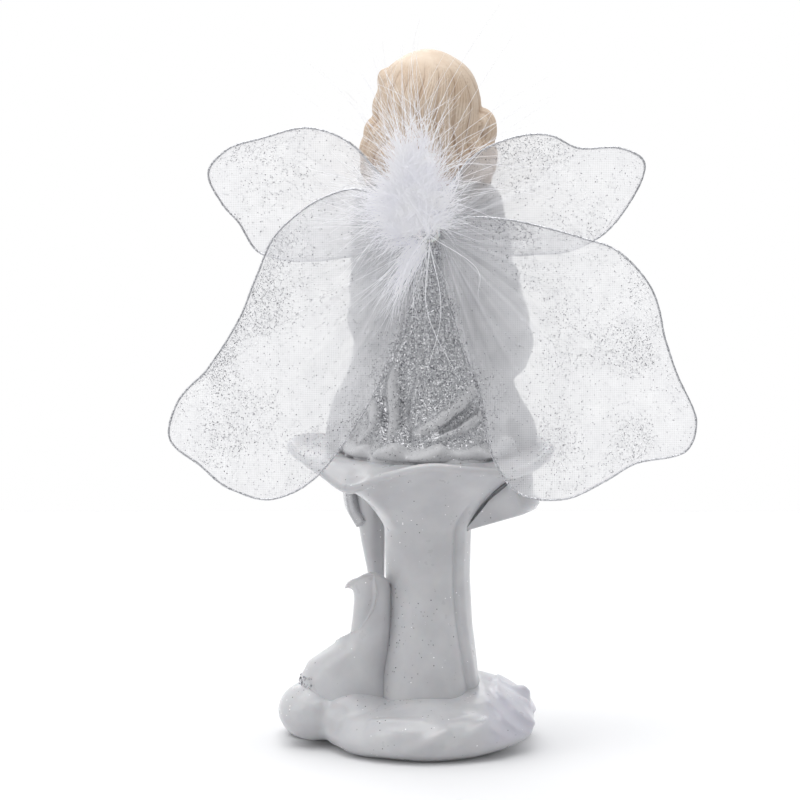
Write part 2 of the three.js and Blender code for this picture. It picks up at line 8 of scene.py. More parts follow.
import bpy
import numpy as np
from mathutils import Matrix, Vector


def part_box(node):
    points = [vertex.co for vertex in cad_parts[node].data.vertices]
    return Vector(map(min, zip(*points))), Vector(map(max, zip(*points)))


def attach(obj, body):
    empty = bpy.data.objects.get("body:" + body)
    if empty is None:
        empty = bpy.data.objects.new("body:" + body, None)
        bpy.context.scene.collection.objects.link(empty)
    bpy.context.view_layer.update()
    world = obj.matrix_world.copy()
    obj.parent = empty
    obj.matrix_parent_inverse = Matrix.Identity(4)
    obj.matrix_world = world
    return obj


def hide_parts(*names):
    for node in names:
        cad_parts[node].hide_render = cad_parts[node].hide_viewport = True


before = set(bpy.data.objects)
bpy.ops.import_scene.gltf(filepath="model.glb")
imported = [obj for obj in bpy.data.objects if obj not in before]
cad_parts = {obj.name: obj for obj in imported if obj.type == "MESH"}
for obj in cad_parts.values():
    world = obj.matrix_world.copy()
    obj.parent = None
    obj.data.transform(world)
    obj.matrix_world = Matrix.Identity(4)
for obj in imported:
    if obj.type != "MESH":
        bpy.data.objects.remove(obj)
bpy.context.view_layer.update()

MM = 0.001
TAU = 2 * math.pi


def node_box(node):
    """Lowest and highest corner of a CAD node, in millimetres."""
    low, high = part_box(node)
    return np.array(low) / MM, np.array(high) / MM


base_low, base_high = node_box("cloud_base")
stem_low, stem_high = node_box("lily_stem")
bloom_low, bloom_high = node_box("lily_flower")
skirt_low, skirt_high = node_box("skirt")
bodice_low, bodice_high = node_box("bodice")
hair_low, hair_high = node_box("hair")
binding_low, binding_high = node_box("wing_binding")

STEM_RADIUS = 12.3
SEAT = skirt_low[2] - 0.3
WAIST = skirt_high[2]
NECK_BASE = bodice_high[2]
HEAD = np.array([0.0, -4.0, NECK_BASE + 19.5])
ROOT_Z = (binding_low[2] + binding_high[2]) / 2


# ---------- numbers that vary smoothly ----------
def smoothstep(low, high, value):
    t = np.clip((value - low) / (high - low), 0, 1)
    return t * t * (3 - 2 * t)


def bump(value, width):
    """1 at zero, falling to 0 over about twice the width."""
    return np.exp(-((value / width) ** 2))


def make_noise(seed, size=32):
    """A smooth random field that repeats only after size cells, from -1 to 1."""
    lattice = np.random.default_rng(seed).uniform(-1, 1, (size, size, size)).astype(np.float32)

    def noise(x, y, z):
        x, y, z = np.broadcast_arrays(x, y, z)
        cells = [np.floor(v).astype(int) for v in (x, y, z)]
        parts = [v - c for v, c in zip((x, y, z), cells)]
        parts = [p * p * (3 - 2 * p) for p in parts]
        total = 0
        for corner in range(8):
            steps = [(corner >> axis) & 1 for axis in range(3)]
            index = tuple((c + s) % size for c, s in zip(cells, steps))
            weight = 1
            for p, s in zip(parts, steps):
                weight = weight * (p if s else 1 - p)
            total = total + lattice[index] * weight
        return total

    return noise


noise_a = make_noise(1)
noise_b = make_noise(2)


def spline(points, count, closed=False):
    """count points along a centripetal Catmull-Rom curve, evenly spaced in length."""
    p = np.array(points, dtype=float)
    if closed:
        p = np.vstack([p[-1], p, p[0], p[1]])
    else:
        p = np.vstack([2 * p[0] - p[1], p, 2 * p[-1] - p[-2]])
    t = np.linspace(0, 1, 25)[:-1, None]
    runs = []
    for a, b, c, d in zip(p[:-3], p[1:-2], p[2:-1], p[3:]):
        ab, bc, cd = [max(np.linalg.norm(v) ** 0.5, 1e-4) for v in (b - a, c - b, d - c)]
        start = ((b - a) / ab - (c - a) / (ab + bc) + (c - b) / bc) * bc
        end = ((c - b) / bc - (d - b) / (bc + cd) + (d - c) / cd) * bc
        runs.append(b + start * t + (3 * (c - b) - 2 * start - end) * t**2 + (2 * (b - c) + start + end) * t**3)
    path = np.vstack([*runs, p[-2]])
    length = np.concatenate([[0], np.cumsum(np.linalg.norm(np.diff(path, axis=0), axis=1))])
    at = np.linspace(0, length[-1], count, endpoint=not closed)
    return np.stack([np.interp(at, length, path[:, i]) for i in range(path.shape[1])], axis=1)


# ---------- meshes ----------
def add_mesh(name, points, faces, material, smooth=True, values=None):
    """A mesh object from points in millimetres, faces of equal size, and named values for each point."""
    mesh = bpy.data.meshes.new(name)
    points = np.asarray(points, dtype=np.float32) * MM
    faces = np.asarray(faces, dtype=np.int32)
    count, size = faces.shape
    mesh.vertices.add(len(points))
    mesh.vertices.foreach_set("co", points.ravel())
    mesh.loops.add(faces.size)
    mesh.loops.foreach_set("vertex_index", faces.ravel())
    mesh.polygons.add(count)
    mesh.polygons.foreach_set("loop_start", np.arange(count, dtype=np.int32) * size)
    mesh.polygons.foreach_set("use_smooth", np.full(count, smooth))
    for key, value in (values or {}).items():
        layer = mesh.attributes.new(key, "FLOAT", "POINT")
        layer.data.foreach_set("value", np.asarray(value, dtype=np.float32))
    mesh.update(calc_edges=True)
    mesh.validate()
    mesh.materials.append(material)
    piece = bpy.data.objects.new(name, mesh)
    bpy.context.scene.collection.objects.link(piece)
    return piece


def sheet_faces(rows, columns, wrap=False):
    """Quads of a grid of points laid out row by row. wrap joins the last column to the first."""
    last = columns if wrap else columns - 1
    r, c = np.meshgrid(np.arange(rows - 1), np.arange(last), indexing="ij")
    r, c = r.ravel(), c.ravel()
    following = (c + 1) % columns
    return np.stack([r * columns + c, r * columns + following, (r + 1) * columns + following,
                     (r + 1) * columns + c], axis=1)


def tube_mesh(path, radii, sides=10):
    """Points and quads of a tube with nearly closed, tapered ends."""
    path = np.asarray(path, dtype=float)
    tangent = np.gradient(path, axis=0)
    tangent /= np.linalg.norm(tangent, axis=1, keepdims=True)
    side = np.zeros_like(path)
    start = np.cross(tangent[0], [0.3, 0.9, 0.2])
    for i in range(len(path)):
        start = start - tangent[i] * (start @ tangent[i])
        start /= np.linalg.norm(start)
        side[i] = start
    other = np.cross(tangent, side)
    angle = np.arange(sides) / sides * TAU
    radii = np.broadcast_to(np.asarray(radii, dtype=float), len(path)).copy()
    radii[0] = radii[-1] = radii.min() * 0.05
    ring = side[:, None] * np.cos(angle)[None, :, None] + other[:, None] * np.sin(angle)[None, :, None]
    points = path[:, None] + ring * radii[:, None, None]
    return points.reshape(-1, 3), sheet_faces(len(path), sides, wrap=True)


def merge(parts):
    """One list of points and one of faces from several (points, faces)."""
    points, faces, start = [], [], 0
    for p, f in parts:
        points.append(p)
        faces.append(f + start)
        start += len(p)
    return np.vstack(points), np.vstack(faces)


# ---------- sculpting ----------
def blend_min(a, b, width):
    if width <= 0:
        return np.minimum(a, b)
    h = np.clip(0.5 + 0.5 * (b - a) / width, 0, 1)
    return b + (a - b) * h - width * h * (1 - h)


def ellipsoid(centre, radii):
    cx, cy, cz = centre
    rx, ry, rz = radii

    def field(x, y, z):
        k = np.sqrt(((x - cx) / rx) ** 2 + ((y - cy) / ry) ** 2 + ((z - cz) / rz) ** 2)
        g = np.sqrt(((x - cx) / rx**2) ** 2 + ((y - cy) / ry**2) ** 2 + ((z - cz) / rz**2) ** 2)
        return k * (k - 1) / np.maximum(g, 1e-4)

    return field


def round_cone(a, b, radius_a, radius_b):
    span = b - a
    square = max(float(span @ span), 1e-9)

    def field(x, y, z):
        t = ((x - a[0]) * span[0] + (y - a[1]) * span[1] + (z - a[2]) * span[2]) / square
        t = np.clip(t, 0, 1)
        dx, dy, dz = x - a[0] - t * span[0], y - a[1] - t * span[1], z - a[2] - t * span[2]
        return np.sqrt(dx * dx + dy * dy + dz * dz) - (radius_a + (radius_b - radius_a) * t)

    return field


class Clay:
    """A block of distances in millimetres, negative inside the shape, that is added to and cut from."""

    def __init__(self, low, high, cell):
        self.cell = cell
        self.low = np.array(low, dtype=float)
        self.shape = np.ceil((np.array(high) - self.low) / cell).astype(int) + 1
        self.values = np.full(self.shape, 20.0, dtype=np.float32)

    def window(self, low, high):
        first = np.clip(np.floor((np.array(low) - self.low) / self.cell).astype(int), 0, self.shape)
        last = np.clip(np.ceil((np.array(high) - self.low) / self.cell).astype(int) + 1, 0, self.shape)
        axes = [self.low[i] + self.cell * np.arange(first[i], last[i], dtype=np.float32) for i in range(3)]
        return tuple(slice(a, b) for a, b in zip(first, last)), np.meshgrid(*axes, indexing="ij", sparse=True)

    def whole(self):
        return self.window(self.low, self.low + self.cell * self.shape)

    def change(self, field, low, high, blend, carve):
        index, grid = self.window(np.array(low) - blend - 2 * self.cell, np.array(high) + blend + 2 * self.cell)
        old = self.values[index]
        if old.size:
            new = field(*grid)
            self.values[index] = -blend_min(-old, new, blend) if carve else blend_min(old, new, blend)

    def everywhere(self, field, blend=0.0):
        index, grid = self.whole()
        self.values = blend_min(self.values, field(*grid), blend).astype(np.float32)

    def lump(self, centre, radii, blend=0.0, carve=False):
        centre, radii = np.array(centre, dtype=float), np.broadcast_to(radii, 3).astype(float)
        self.change(ellipsoid(centre, radii), centre - radii, centre + radii, blend, carve)

    def limb(self, points, radii, blend=0.0, carve=False, count=None):
        """A smooth limb through a few points. radii has one value for each point, or is one value."""
        points = np.array(points, dtype=float)
        radii = np.broadcast_to(radii, len(points)).astype(float)
        path = spline(np.column_stack([points, radii]), count or 6 * len(points))
        own = Clay(path[:, :3].min(0) - path[:, 3].max() - blend - 2 * self.cell,
                   path[:, :3].max(0) + path[:, 3].max() + blend + 2 * self.cell, self.cell)
        own.low = self.low + self.cell * np.round((own.low - self.low) / self.cell)
        for a, b in zip(path[:-1], path[1:]):
            reach = max(a[3], b[3]) + blend + own.cell
            low, high = np.minimum(a[:3], b[:3]) - reach, np.maximum(a[:3], b[:3]) + reach
            own.change(round_cone(a[:3], b[:3], a[3], b[3]), low, high, 0, False)
        self.paste(own, blend, carve)

    def paste(self, other, blend, carve=False):
        start = np.round((other.low - self.low) / self.cell).astype(int)
        first = np.clip(start, 0, self.shape)
        last = np.clip(start + other.shape, 0, self.shape)
        if np.any(last <= first):
            return
        mine = tuple(slice(a, b) for a, b in zip(first, last))
        theirs = tuple(slice(a - s, b - s) for a, b, s in zip(first, last, start))
        old, new = self.values[mine], other.values[theirs]
        self.values[mine] = -blend_min(-old, new, blend) if carve else blend_min(old, new, blend)

    def displace(self, amount):
        """Moves the surface out by amount(x, y, z)."""
        _, grid = self.whole()
        near = np.abs(self.values) < 4
        x, y, z = (np.broadcast_to(v, self.values.shape)[near] for v in grid)
        self.values[near] -= amount(x, y, z)

    def cut_below(self, height):
        _, (_, _, z) = self.whole()
        self.values = np.maximum(self.values, height - z).astype(np.float32)

    def mesh(self):
        """Points and quads on the zero level: one point in each cell that the surface passes through."""
        v = self.values
        inside = v < 0
        cells = tuple(n - 1 for n in v.shape)
        count = np.zeros(cells, dtype=np.float32)
        offset = [np.zeros(cells, dtype=np.float32) for _ in range(3)]
        crossings = []
        for axis in range(3):
            behind = tuple(slice(None, -1) if a == axis else slice(None) for a in range(3))
            ahead = tuple(slice(1, None) if a == axis else slice(None) for a in range(3))
            cross = inside[behind] != inside[ahead]
            crossings.append(cross)
            share = np.where(cross, v[behind] / np.where(cross, v[behind] - v[ahead], 1), 0)
            others = [a for a in range(3) if a != axis]
            for step in range(4):
                steps = dict(zip(others, (step & 1, step >> 1)))
                pick = tuple(slice(None) if a == axis else slice(steps[a], steps[a] + cells[a]) for a in range(3))
                here = cross[pick]
                count += here
                offset[axis] += share[pick]
                for a in others:
                    if steps[a]:
                        offset[a] += here
        used = count > 0
        number = np.full(cells, -1, dtype=np.int64)
        number[used] = np.arange(int(used.sum()))
        place = np.argwhere(used)
        points = np.stack([self.low[a] + self.cell * (place[:, a] + offset[a][used] / count[used]) for a in range(3)],
                          axis=1)
        quads = []
        for axis in range(3):
            others = [a for a in range(3) if a != axis]
            at = np.argwhere(crossings[axis])
            ok = np.all([(at[:, a] > 0) & (at[:, a] < cells[a]) for a in others], axis=0)
            at = at[ok]
            corners = []
            for down in ((1, 1), (0, 1), (0, 0), (1, 0)):
                cell = at.copy()
                for a, d in zip(others, down):
                    cell[:, a] -= d
                corners.append(number[tuple(cell.T)])
            faces = np.stack(corners, axis=1)
            flip = inside[tuple(at.T)] == (axis == 1)
            faces[flip] = faces[flip, ::-1]
            quads.append(faces)
        return points, np.vstack(quads)


def loft(rows, close_start=True, close_end=True):
    """Points and quads through rings with an even number of points. Rings run anticlockwise, rows run up."""
    rows = np.asarray(rows, dtype=float)
    count, around = rows.shape[:2]
    points = [rows.reshape(-1, 3)]
    faces = [sheet_faces(count, around, wrap=True)]
    pairs = np.arange(0, around, 2)
    for wanted, row, turn in ((close_start, 0, -1), (close_end, count - 1, 1)):
        if wanted:
            middle = sum(len(p) for p in points)
            points.append(rows[row].mean(axis=0, keepdims=True))
            ring = [row * around + (pairs + k) % around for k in range(3)]
            cap = np.stack([np.full(len(pairs), middle), *ring], axis=1)
            faces.append(cap if turn > 0 else cap[:, ::-1])
    return outward(np.vstack(points), np.vstack(faces))


def outward(points, faces):
    """The same closed body with its faces turned outwards."""
    a, b, c, d = (points[faces[:, k]] for k in range(4))
    volume = np.sum(np.cross(b - a, c - a) * a) + np.sum(np.cross(c - a, d - a) * a)
    return points, (faces if volume > 0 else faces[:, ::-1])


# ---------- materials ----------
def srgb(*colour):
    """Linear colour, with alpha, from 0 to 255 screen values."""
    v = np.array(colour) / 255
    linear = np.where(v <= 0.04045, v / 12.92, ((v + 0.055) / 1.055) ** 2.4)
    return (*linear, 1.0)


class Shader:
    """A node material built by short calls. at is the position on the piece, in metres."""

    def __init__(self, name, **settings):
        self.material = bpy.data.materials.new(name)
        self.material.use_nodes = True
        self.tree = self.material.node_tree
        self.tree.nodes.clear()
        self.surface = self.add("ShaderNodeBsdfPrincipled", settings)
        self.output = self.add("ShaderNodeOutputMaterial", {"Surface": self.surface.outputs[0]})
        self.at = self.add("ShaderNodeTexCoord").outputs["Object"]

    def add(self, kind, inputs=None, **settings):
        made = self.tree.nodes.new(kind)
        for key, value in settings.items():
            setattr(made, key, value)
        for key, value in (inputs or {}).items():
            self.join(value, made.inputs[key])
        return made

    def join(self, value, socket):
        if isinstance(value, bpy.types.NodeSocket):
            self.tree.links.new(value, socket)
        else:
            socket.default_value = value

    def set(self, **inputs):
        for key, value in inputs.items():
            self.join(value, self.surface.inputs[key.replace("_", " ")])

    def noise(self, size_mm, detail=3.0, roughness=0.5, at=None):
        made = self.add("ShaderNodeTexNoise", {"Vector": at or self.at, "Scale": 1 / (size_mm * MM),
                                               "Detail": detail, "Roughness": roughness})
        return made.outputs["Fac"]

    def cells(self, size_mm, randomness=1.0):
        made = self.add("ShaderNodeTexVoronoi", {"Vector": self.at, "Scale": 1 / (size_mm * MM),
                                                 "Randomness": randomness})
        return made.outputs["Distance"], made.outputs["Color"]

    def value(self, name):
        return self.add("ShaderNodeAttribute", attribute_name=name).outputs["Fac"]

    def ramp(self, factor, low, high, out_low=0.0, out_high=1.0):
        made = self.add("ShaderNodeMapRange", {"Value": factor, "From Min": low, "From Max": high,
                                               "To Min": out_low, "To Max": out_high})
        return made.outputs["Result"]

    def mix(self, factor, a, b):
        made = self.add("ShaderNodeMix", {0: factor, 6: a, 7: b}, data_type="RGBA")
        return made.outputs[2]

    def math(self, operation, a, b=0.0):
        return self.add("ShaderNodeMath", {0: a, 1: b}, operation=operation).outputs[0]

    def channel(self, colour, index=0):
        return self.add("ShaderNodeSeparateColor", {0: colour}).outputs[index]

    def bump(self, height, depth_mm, strength=1.0, normal=None):
        inputs = {"Height": height, "Distance": depth_mm * MM, "Strength": strength}
        if normal:
            inputs["Normal"] = normal
        return self.add("ShaderNodeBump", inputs).outputs[0]

    def scattered(self, normal_amount, colour):
        """A normal that leans a random way in each cell, as a flake of glitter lies."""
        spread = self.add("ShaderNodeVectorMath", {0: colour, 1: (0.5, 0.5, 0.5)}, operation="SUBTRACT")
        lean = self.add("ShaderNodeVectorMath", {0: spread.outputs[0], "Scale": normal_amount}, operation="SCALE")
        facing = self.add("ShaderNodeNewGeometry").outputs["Normal"]
        total = self.add("ShaderNodeVectorMath", {0: facing, 1: lean.outputs[0]}, operation="ADD")
        return self.add("ShaderNodeVectorMath", {0: total.outputs[0]}, operation="NORMALIZE").outputs[0]


def resin_material():
    s = Shader("pearl_resin", Roughness=0.34)
    s.surface.inputs["Coat Weight"].default_value = 0.4
    s.surface.inputs["Coat Roughness"].default_value = 0.1
    s.surface.inputs["Subsurface Weight"].default_value = 0.1
    s.surface.inputs["Subsurface Scale"].default_value = 1.5 * MM
    tone = s.mix(s.ramp(s.noise(9), 0.35, 0.7), srgb(184, 184, 187), srgb(196, 196, 198))
    tone = s.mix(s.value("lavender"), tone, srgb(187, 186, 197))
    distance, colour = s.cells(0.8)
    rare = s.ramp(s.channel(colour), 0.9, 0.91)
    clustered = s.ramp(s.noise(8, 2), 0.5, 0.56)
    speck = s.math("MULTIPLY", s.math("MULTIPLY", rare, clustered), s.ramp(distance, 0.26, 0.2))
    s.set(Base_Color=s.mix(speck, tone, s.mix(s.ramp(s.channel(colour, 1), 0.45, 0.5), srgb(92, 93, 97), srgb(252, 252, 252))))
    s.set(Roughness=s.ramp(s.noise(3.5), 0.3, 0.7, 0.27, 0.42))
    s.set(Normal=s.bump(s.noise(1.4, 4), 0.05, 0.6))
    return s.material


def glitter_material():
    """White resin with foil glitter pressed into it, as thick as the glitter value says."""
    s = Shader("glitter_dress")
    _, colour = s.cells(0.3)
    amount = s.value("glitter")
    body = s.mix(s.ramp(s.noise(6), 0.3, 0.7), srgb(190, 190, 192), srgb(202, 202, 204))
    powdered = s.mix(amount, body, srgb(166, 167, 170))
    shade = s.ramp(s.channel(colour, 0), 0.0, 1.0)
    flake = s.mix(shade, srgb(112, 113, 118), srgb(248, 248, 250))
    covered = s.math("LESS_THAN", s.channel(colour, 1), s.math("MULTIPLY", amount, 0.62))
    s.set(Base_Color=s.mix(covered, powdered, flake), Metallic=s.math("MULTIPLY", covered, 0.55))
    s.set(Roughness=s.ramp(shade, 0, 1, 0.42, 0.25))
    lean = s.scattered(0.9, colour)
    smooth = s.bump(s.noise(1.4, 4), 0.05, 0.6)
    s.set(Normal=s.add("ShaderNodeMix", {0: covered, 4: smooth, 5: lean}, data_type="VECTOR").outputs[1])
    return s.material


def hair_material():
    s = Shader("painted_hair")
    s.surface.inputs["Coat Weight"].default_value = 0.12
    base = s.mix(s.ramp(s.noise(5, 3), 0.35, 0.65), srgb(216, 199, 180), srgb(202, 181, 159))
    # Painted shade: the groove value darkens the hair towards brown in its grooves, where shade falls.
    groove = s.math("MULTIPLY", s.value("groove"), s.ramp(s.noise(2.2, 4), 0.2, 0.8, 0.6, 1.1))
    s.set(Base_Color=s.mix(groove, base, srgb(146, 113, 86)))
    s.set(Roughness=s.ramp(s.noise(1.5), 0.3, 0.7, 0.42, 0.6))
    s.set(Normal=s.bump(s.noise(0.5, 3), 0.04, 0.5))
    return s.material


def skin_material():
    s = Shader("painted_skin")
    s.surface.inputs["Subsurface Weight"].default_value = 0.15
    s.surface.inputs["Subsurface Scale"].default_value = 1.5 * MM
    s.surface.inputs["Coat Weight"].default_value = 0.1
    base = s.mix(s.ramp(s.noise(7), 0.3, 0.7), srgb(243, 213, 196), srgb(238, 203, 184))
    base = s.mix(s.value("blush"), base, srgb(232, 158, 142))
    base = s.mix(s.value("lips"), base, srgb(205, 112, 108))
    base = s.mix(s.value("brow"), base, srgb(128, 94, 66))
    s.set(Base_Color=base, Roughness=s.ramp(s.noise(2), 0.3, 0.7, 0.4, 0.5))
    s.set(Normal=s.bump(s.noise(0.8, 3), 0.03, 0.4))
    return s.material


def wire_material():
    s = Shader("silver_wire", Metallic=1.0)
    _, colour = s.cells(0.3)
    s.set(Base_Color=s.mix(s.channel(colour), srgb(160, 161, 165), srgb(222, 222, 225)))
    s.set(Roughness=s.ramp(s.noise(0.8), 0.3, 0.7, 0.24, 0.4), Normal=s.scattered(0.35, colour))
    return s.material


def glue_material():
    s = Shader("clear_glue")
    s.surface.inputs["Coat Weight"].default_value = 0.6
    s.surface.inputs["Subsurface Weight"].default_value = 0.3
    s.surface.inputs["Subsurface Scale"].default_value = 1.5 * MM
    s.set(Base_Color=s.mix(s.ramp(s.noise(2), 0.3, 0.7), srgb(226, 226, 226), srgb(240, 240, 240)))
    s.set(Roughness=s.ramp(s.noise(1.5), 0.3, 0.7, 0.15, 0.3), Normal=s.bump(s.noise(1.2), 0.1))
    return s.material


def flake_material():
    s = Shader("silver_glitter", Metallic=1.0)
    _, colour = s.cells(0.5)
    s.set(Base_Color=s.mix(s.channel(colour), srgb(98, 99, 103), srgb(214, 214, 218)))
    s.set(Roughness=s.ramp(s.channel(colour, 1), 0, 1, 0.18, 0.35))
    return s.material


def down_material():
    s = Shader("down_feather", Roughness=0.8)
    tone = s.mix(s.ramp(s.noise(4), 0.3, 0.7), srgb(248, 248, 252), srgb(254, 254, 255))
    s.set(Base_Color=tone)
    # Painted glow: a faint white emission brightens the down, standing in for light scattered through the fluff.
    s.surface.inputs["Emission Color"].default_value = (1.0, 1.0, 1.0, 1.0)
    s.surface.inputs["Emission Strength"].default_value = 0.16
    light = s.add("ShaderNodeBsdfTranslucent", {"Color": tone})
    mixed = s.add("ShaderNodeMixShader", {0: 0.45, 1: s.surface.outputs[0], 2: light.outputs[0]})
    s.join(mixed.outputs[0], s.output.inputs["Surface"])
    return s.material


GAUZE_PITCH = 0.5  # distance between the threads of the wing gauze


def gauze_material():
    """Sheer cloth: two sets of fine threads, with a thin film of size between them."""
    s = Shader("wing_gauze", Roughness=0.6)
    s.surface.inputs["Sheen Weight"].default_value = 0.2
    place = s.add("ShaderNodeSeparateXYZ", {0: s.at})
    wander = s.ramp(s.noise(14, 2), 0, 1, -0.8, 0.8)
    threads = []
    for axis in (0, 2):
        turn = s.math("MULTIPLY", place.outputs[axis], TAU / (GAUZE_PITCH * MM))
        threads.append(s.math("SINE", s.math("ADD", turn, s.math("MULTIPLY", wander, 5.0))))
    cross = s.math("MAXIMUM", threads[0], threads[1])
    cover = s.ramp(cross, -0.1, 0.95, 0.46, 0.6)
    cloudy = s.math("MULTIPLY", s.ramp(s.noise(16, 3), 0.35, 0.65, 0.92, 1.1), s.value("pleat"))
    tone = s.mix(s.ramp(s.noise(5), 0.3, 0.7), srgb(226, 226, 229), srgb(240, 240, 242))
    s.set(Base_Color=tone)
    through = s.add("ShaderNodeBsdfTranslucent", {"Color": tone})
    cloth = s.add("ShaderNodeMixShader", {0: 0.5, 1: s.surface.outputs[0], 2: through.outputs[0]})
    gap = s.add("ShaderNodeBsdfTransparent")
    sheer = s.add("ShaderNodeMixShader", {0: s.math("MULTIPLY", cover, cloudy), 1: gap.outputs[0], 2: cloth.outputs[0]})
    s.join(sheer.outputs[0], s.output.inputs["Surface"])
    return s.material


RESIN = resin_material()
GLITTER = glitter_material()
HAIR = hair_material()
SKIN = skin_material()
WIRE = wire_material()
GLUE = glue_material()
FLAKE = flake_material()
DOWN = down_material()
GAUZE = gauze_material()


def place(piece, body, slot, *nodes):
    """Rides a piece on a body and hides the CAD nodes that it stands for; slot, its finish, is not used."""
    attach(piece, body)
    if nodes:
        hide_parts(*nodes)
    return piece


# ---------- cloud base ----------
# Lumps of the cloud: middle x and y, radii, and top height.
CLOUD_LUMPS = [
    (2, 8, 27, 23.5, 12.0),
    (27, -12, 16, 15, 15.1),
    (-12, -9, 19, 23, 18.2),
    (8, -22, 21, 16, 13.3),
    (1, 0, 24, 20, 14.7),
]


def make_cloud():
    clay = Clay(base_low - 6, base_high + 6, 0.45)
    for x, y, rx, ry, top in CLOUD_LUMPS:
        middle = 0.38 * top
        clay.lump((x, y, middle), (rx - 0.3, ry - 0.3, top - middle), blend=1.4)
    # The near lobe's swollen lip, with a step behind it, and swellings round the edge.
    clay.limb([(20, 17, 6.0), (11, 25.2, 6.4), (-3, 26.8, 6.6), (-16, 22.5, 6.8), (-25, 12, 7.4)],
              [4.8, 5.2, 5.6, 5.2, 5.0], blend=1.8)
    for x, y, z, r in ((-22, 6, 10, 8), (-24, -4, 12, 5.5), (32, -9, 8.5, 10.8), (36, -14, 7, 7)):
        clay.lump((x, y, z), (r, r * 0.9, r * 0.66), blend=2.2)
    # The cloud slopes up to the stem, and its left lobe hides the foot of the small lily.
    clay.lump((0, 15, 7.5), (20, 13, 8.0), blend=4)
    clay.lump((-16, 8, 8.5), (11, 14, 8.6), blend=4)
    clay.lump((20.5, 7, 8.6), (11, 9.5, 8.4), blend=3)
    clay.lump((32.2, 2.4, 9.7), (10.3, 10.5, 8.5), blend=1.6)
    # Soft folds along the lip.
    for fold in ([(6, 31.0, 4.4), (0, 32.2, 6.6), (-5, 31.2, 9.4)], [(-7, 31.0, 5.2), (-12, 28.8, 8.2), (-17, 24.5, 11.2)],
                 [(16, 24.4, 10.4), (9, 27.6, 11.4), (2, 28.6, 11.4)]):
        clay.limb(fold, [0.5, 1.0, 0.5], blend=2.2)

    def crinkle(x, y, z):
        patch = smoothstep(-15, -19, x) * smoothstep(4, 9, z) * smoothstep(-20, -12, y)
        run = (z - 0.85 * (x + 17.5)) / 2.4 + 0.35 * noise_a(x / 9, y / 9, z / 9)
        strand = 1 - 2 * np.sqrt(np.sin(run * math.pi / 2) ** 2 + 0.02)
        fine = noise_b(x / 2.6, y / 2.6, z / 2.2)
        soft = noise_a(x / 11 + 7, y / 11, z / 9)
        return patch * (0.42 * strand + 0.06 * fine) + 0.45 * soft + 0.05 * fine

    clay.displace(crinkle)
    clay.cut_below(0.0)
    points, faces = clay.mesh()
    x, y, z = points.T
    tint = smoothstep(-12, -22, x) * smoothstep(-24, -12, y) * smoothstep(2, 7, z) * 0.8
    piece = add_mesh("cloud_base_sculpt", points, faces, RESIN, values={"lavender": tint})
    return place(piece, "figurine", "pearl_resin", "cloud_base")


# ---------- calla lily ----------
AROUND = 288
PETAL = 1.6


def node_points(node):
    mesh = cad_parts[node].data
    points = np.empty(len(mesh.vertices) * 3, dtype=np.float32)
    mesh.vertices.foreach_get("co", points)
    return points.reshape(-1, 3) / MM


def bloom_rim():
    """The outermost points of the lily's bloom, as a smooth closed curve from +X anticlockwise."""
    points = node_points("lily_flower")
    angle = np.round(np.arctan2(points[:, 1], points[:, 0]) % TAU, 3)
    radius = np.hypot(points[:, 0], points[:, 1])
    rim = []
    for a in np.unique(angle):
        here = points[angle == a]
        reach = radius[angle == a]
        rim.append(here[reach > reach.max() - 0.05].mean(axis=0))
    rim = np.array([p for p in rim if np.hypot(p[0], p[1]) > 20])
    return spline(rim, AROUND, closed=True)


def stem_radius(z):
    heights = np.array([8.0, 19.0, 35.0, 48.0, 62.0])
    return np.interp(z, heights, [16.2, 14.6, 12.7, 12.0, 12.3])


GROOVE_ANGLE = math.radians(130)


def overlap(angle, z):
    """The stem's rolled edge: a sharp step with a shallow valley beside it."""
    edge = GROOVE_ANGLE + 0.004 * (62 - z) + 0.05 * np.sin(z / 9)
    off = (angle - edge + math.pi) % TAU - math.pi
    valley = -1.2 * np.where(off > 0, np.exp(-off / 0.05), np.exp(off / 0.14))
    swell = 0.4 * bump(off - 0.2, 0.16)
    return valley + swell


def make_lily():
    rim = bloom_rim()
    angle = np.arctan2(rim[:, 1], rim[:, 0])
    reach = np.hypot(rim[:, 0], rim[:, 1])
    out = np.stack([rim[:, 0] / reach, rim[:, 1] / reach], axis=1)
    top = rim[:, 2] + PETAL / 2
    lift = top - SEAT
    rows = []

    def row(radius, z):
        rows.append(np.column_stack([out * np.broadcast_to(radius, AROUND)[:, None], np.broadcast_to(z, AROUND)]))

    for z in np.linspace(stem_low[2] - 2, STEM_TOP, 46):
        row(stem_radius(z) + overlap(angle, z), z)
    for share in np.linspace(0, 0.9, 26)[1:]:
        radius = STEM_RADIUS + (reach - STEM_RADIUS) * share**1.25
        z = STEM_TOP + (top - PETAL - STEM_TOP) * (1 - (1 - share) ** 1.35)
        fade = (1 - smoothstep(0.1, 0.55, share)) * 1.0
        row(radius + overlap(angle, STEM_TOP + 10 * share) * fade, z)
    roll = 1.25 + 0.55 * bump(np.sin(angle / 2), 0.35) + 0.4 * bump(np.cos(angle / 2), 0.3)
    for turn in np.radians(np.linspace(-115, 80, 13)):
        row(reach - roll + roll * np.cos(turn), top - roll + roll * np.sin(turn) + 0.1)
    for share in (0.93, 0.88, 0.82, 0.76, 0.7, 0.62, 0.5, 0.35, 0.2, 0.08):
        rise = lift * np.clip((share - 0.68) / 0.32, 0, 1) ** 1.2
        row(reach * share, SEAT + rise - 0.05)
    points, faces = loft(rows)
    piece = add_mesh("calla_lily", points, faces, RESIN, values={"lavender": np.zeros(len(points))})
    return place(piece, "figurine", "pearl_resin", "lily_stem", "lily_flower"), rim


STEM_TOP = stem_high[2]


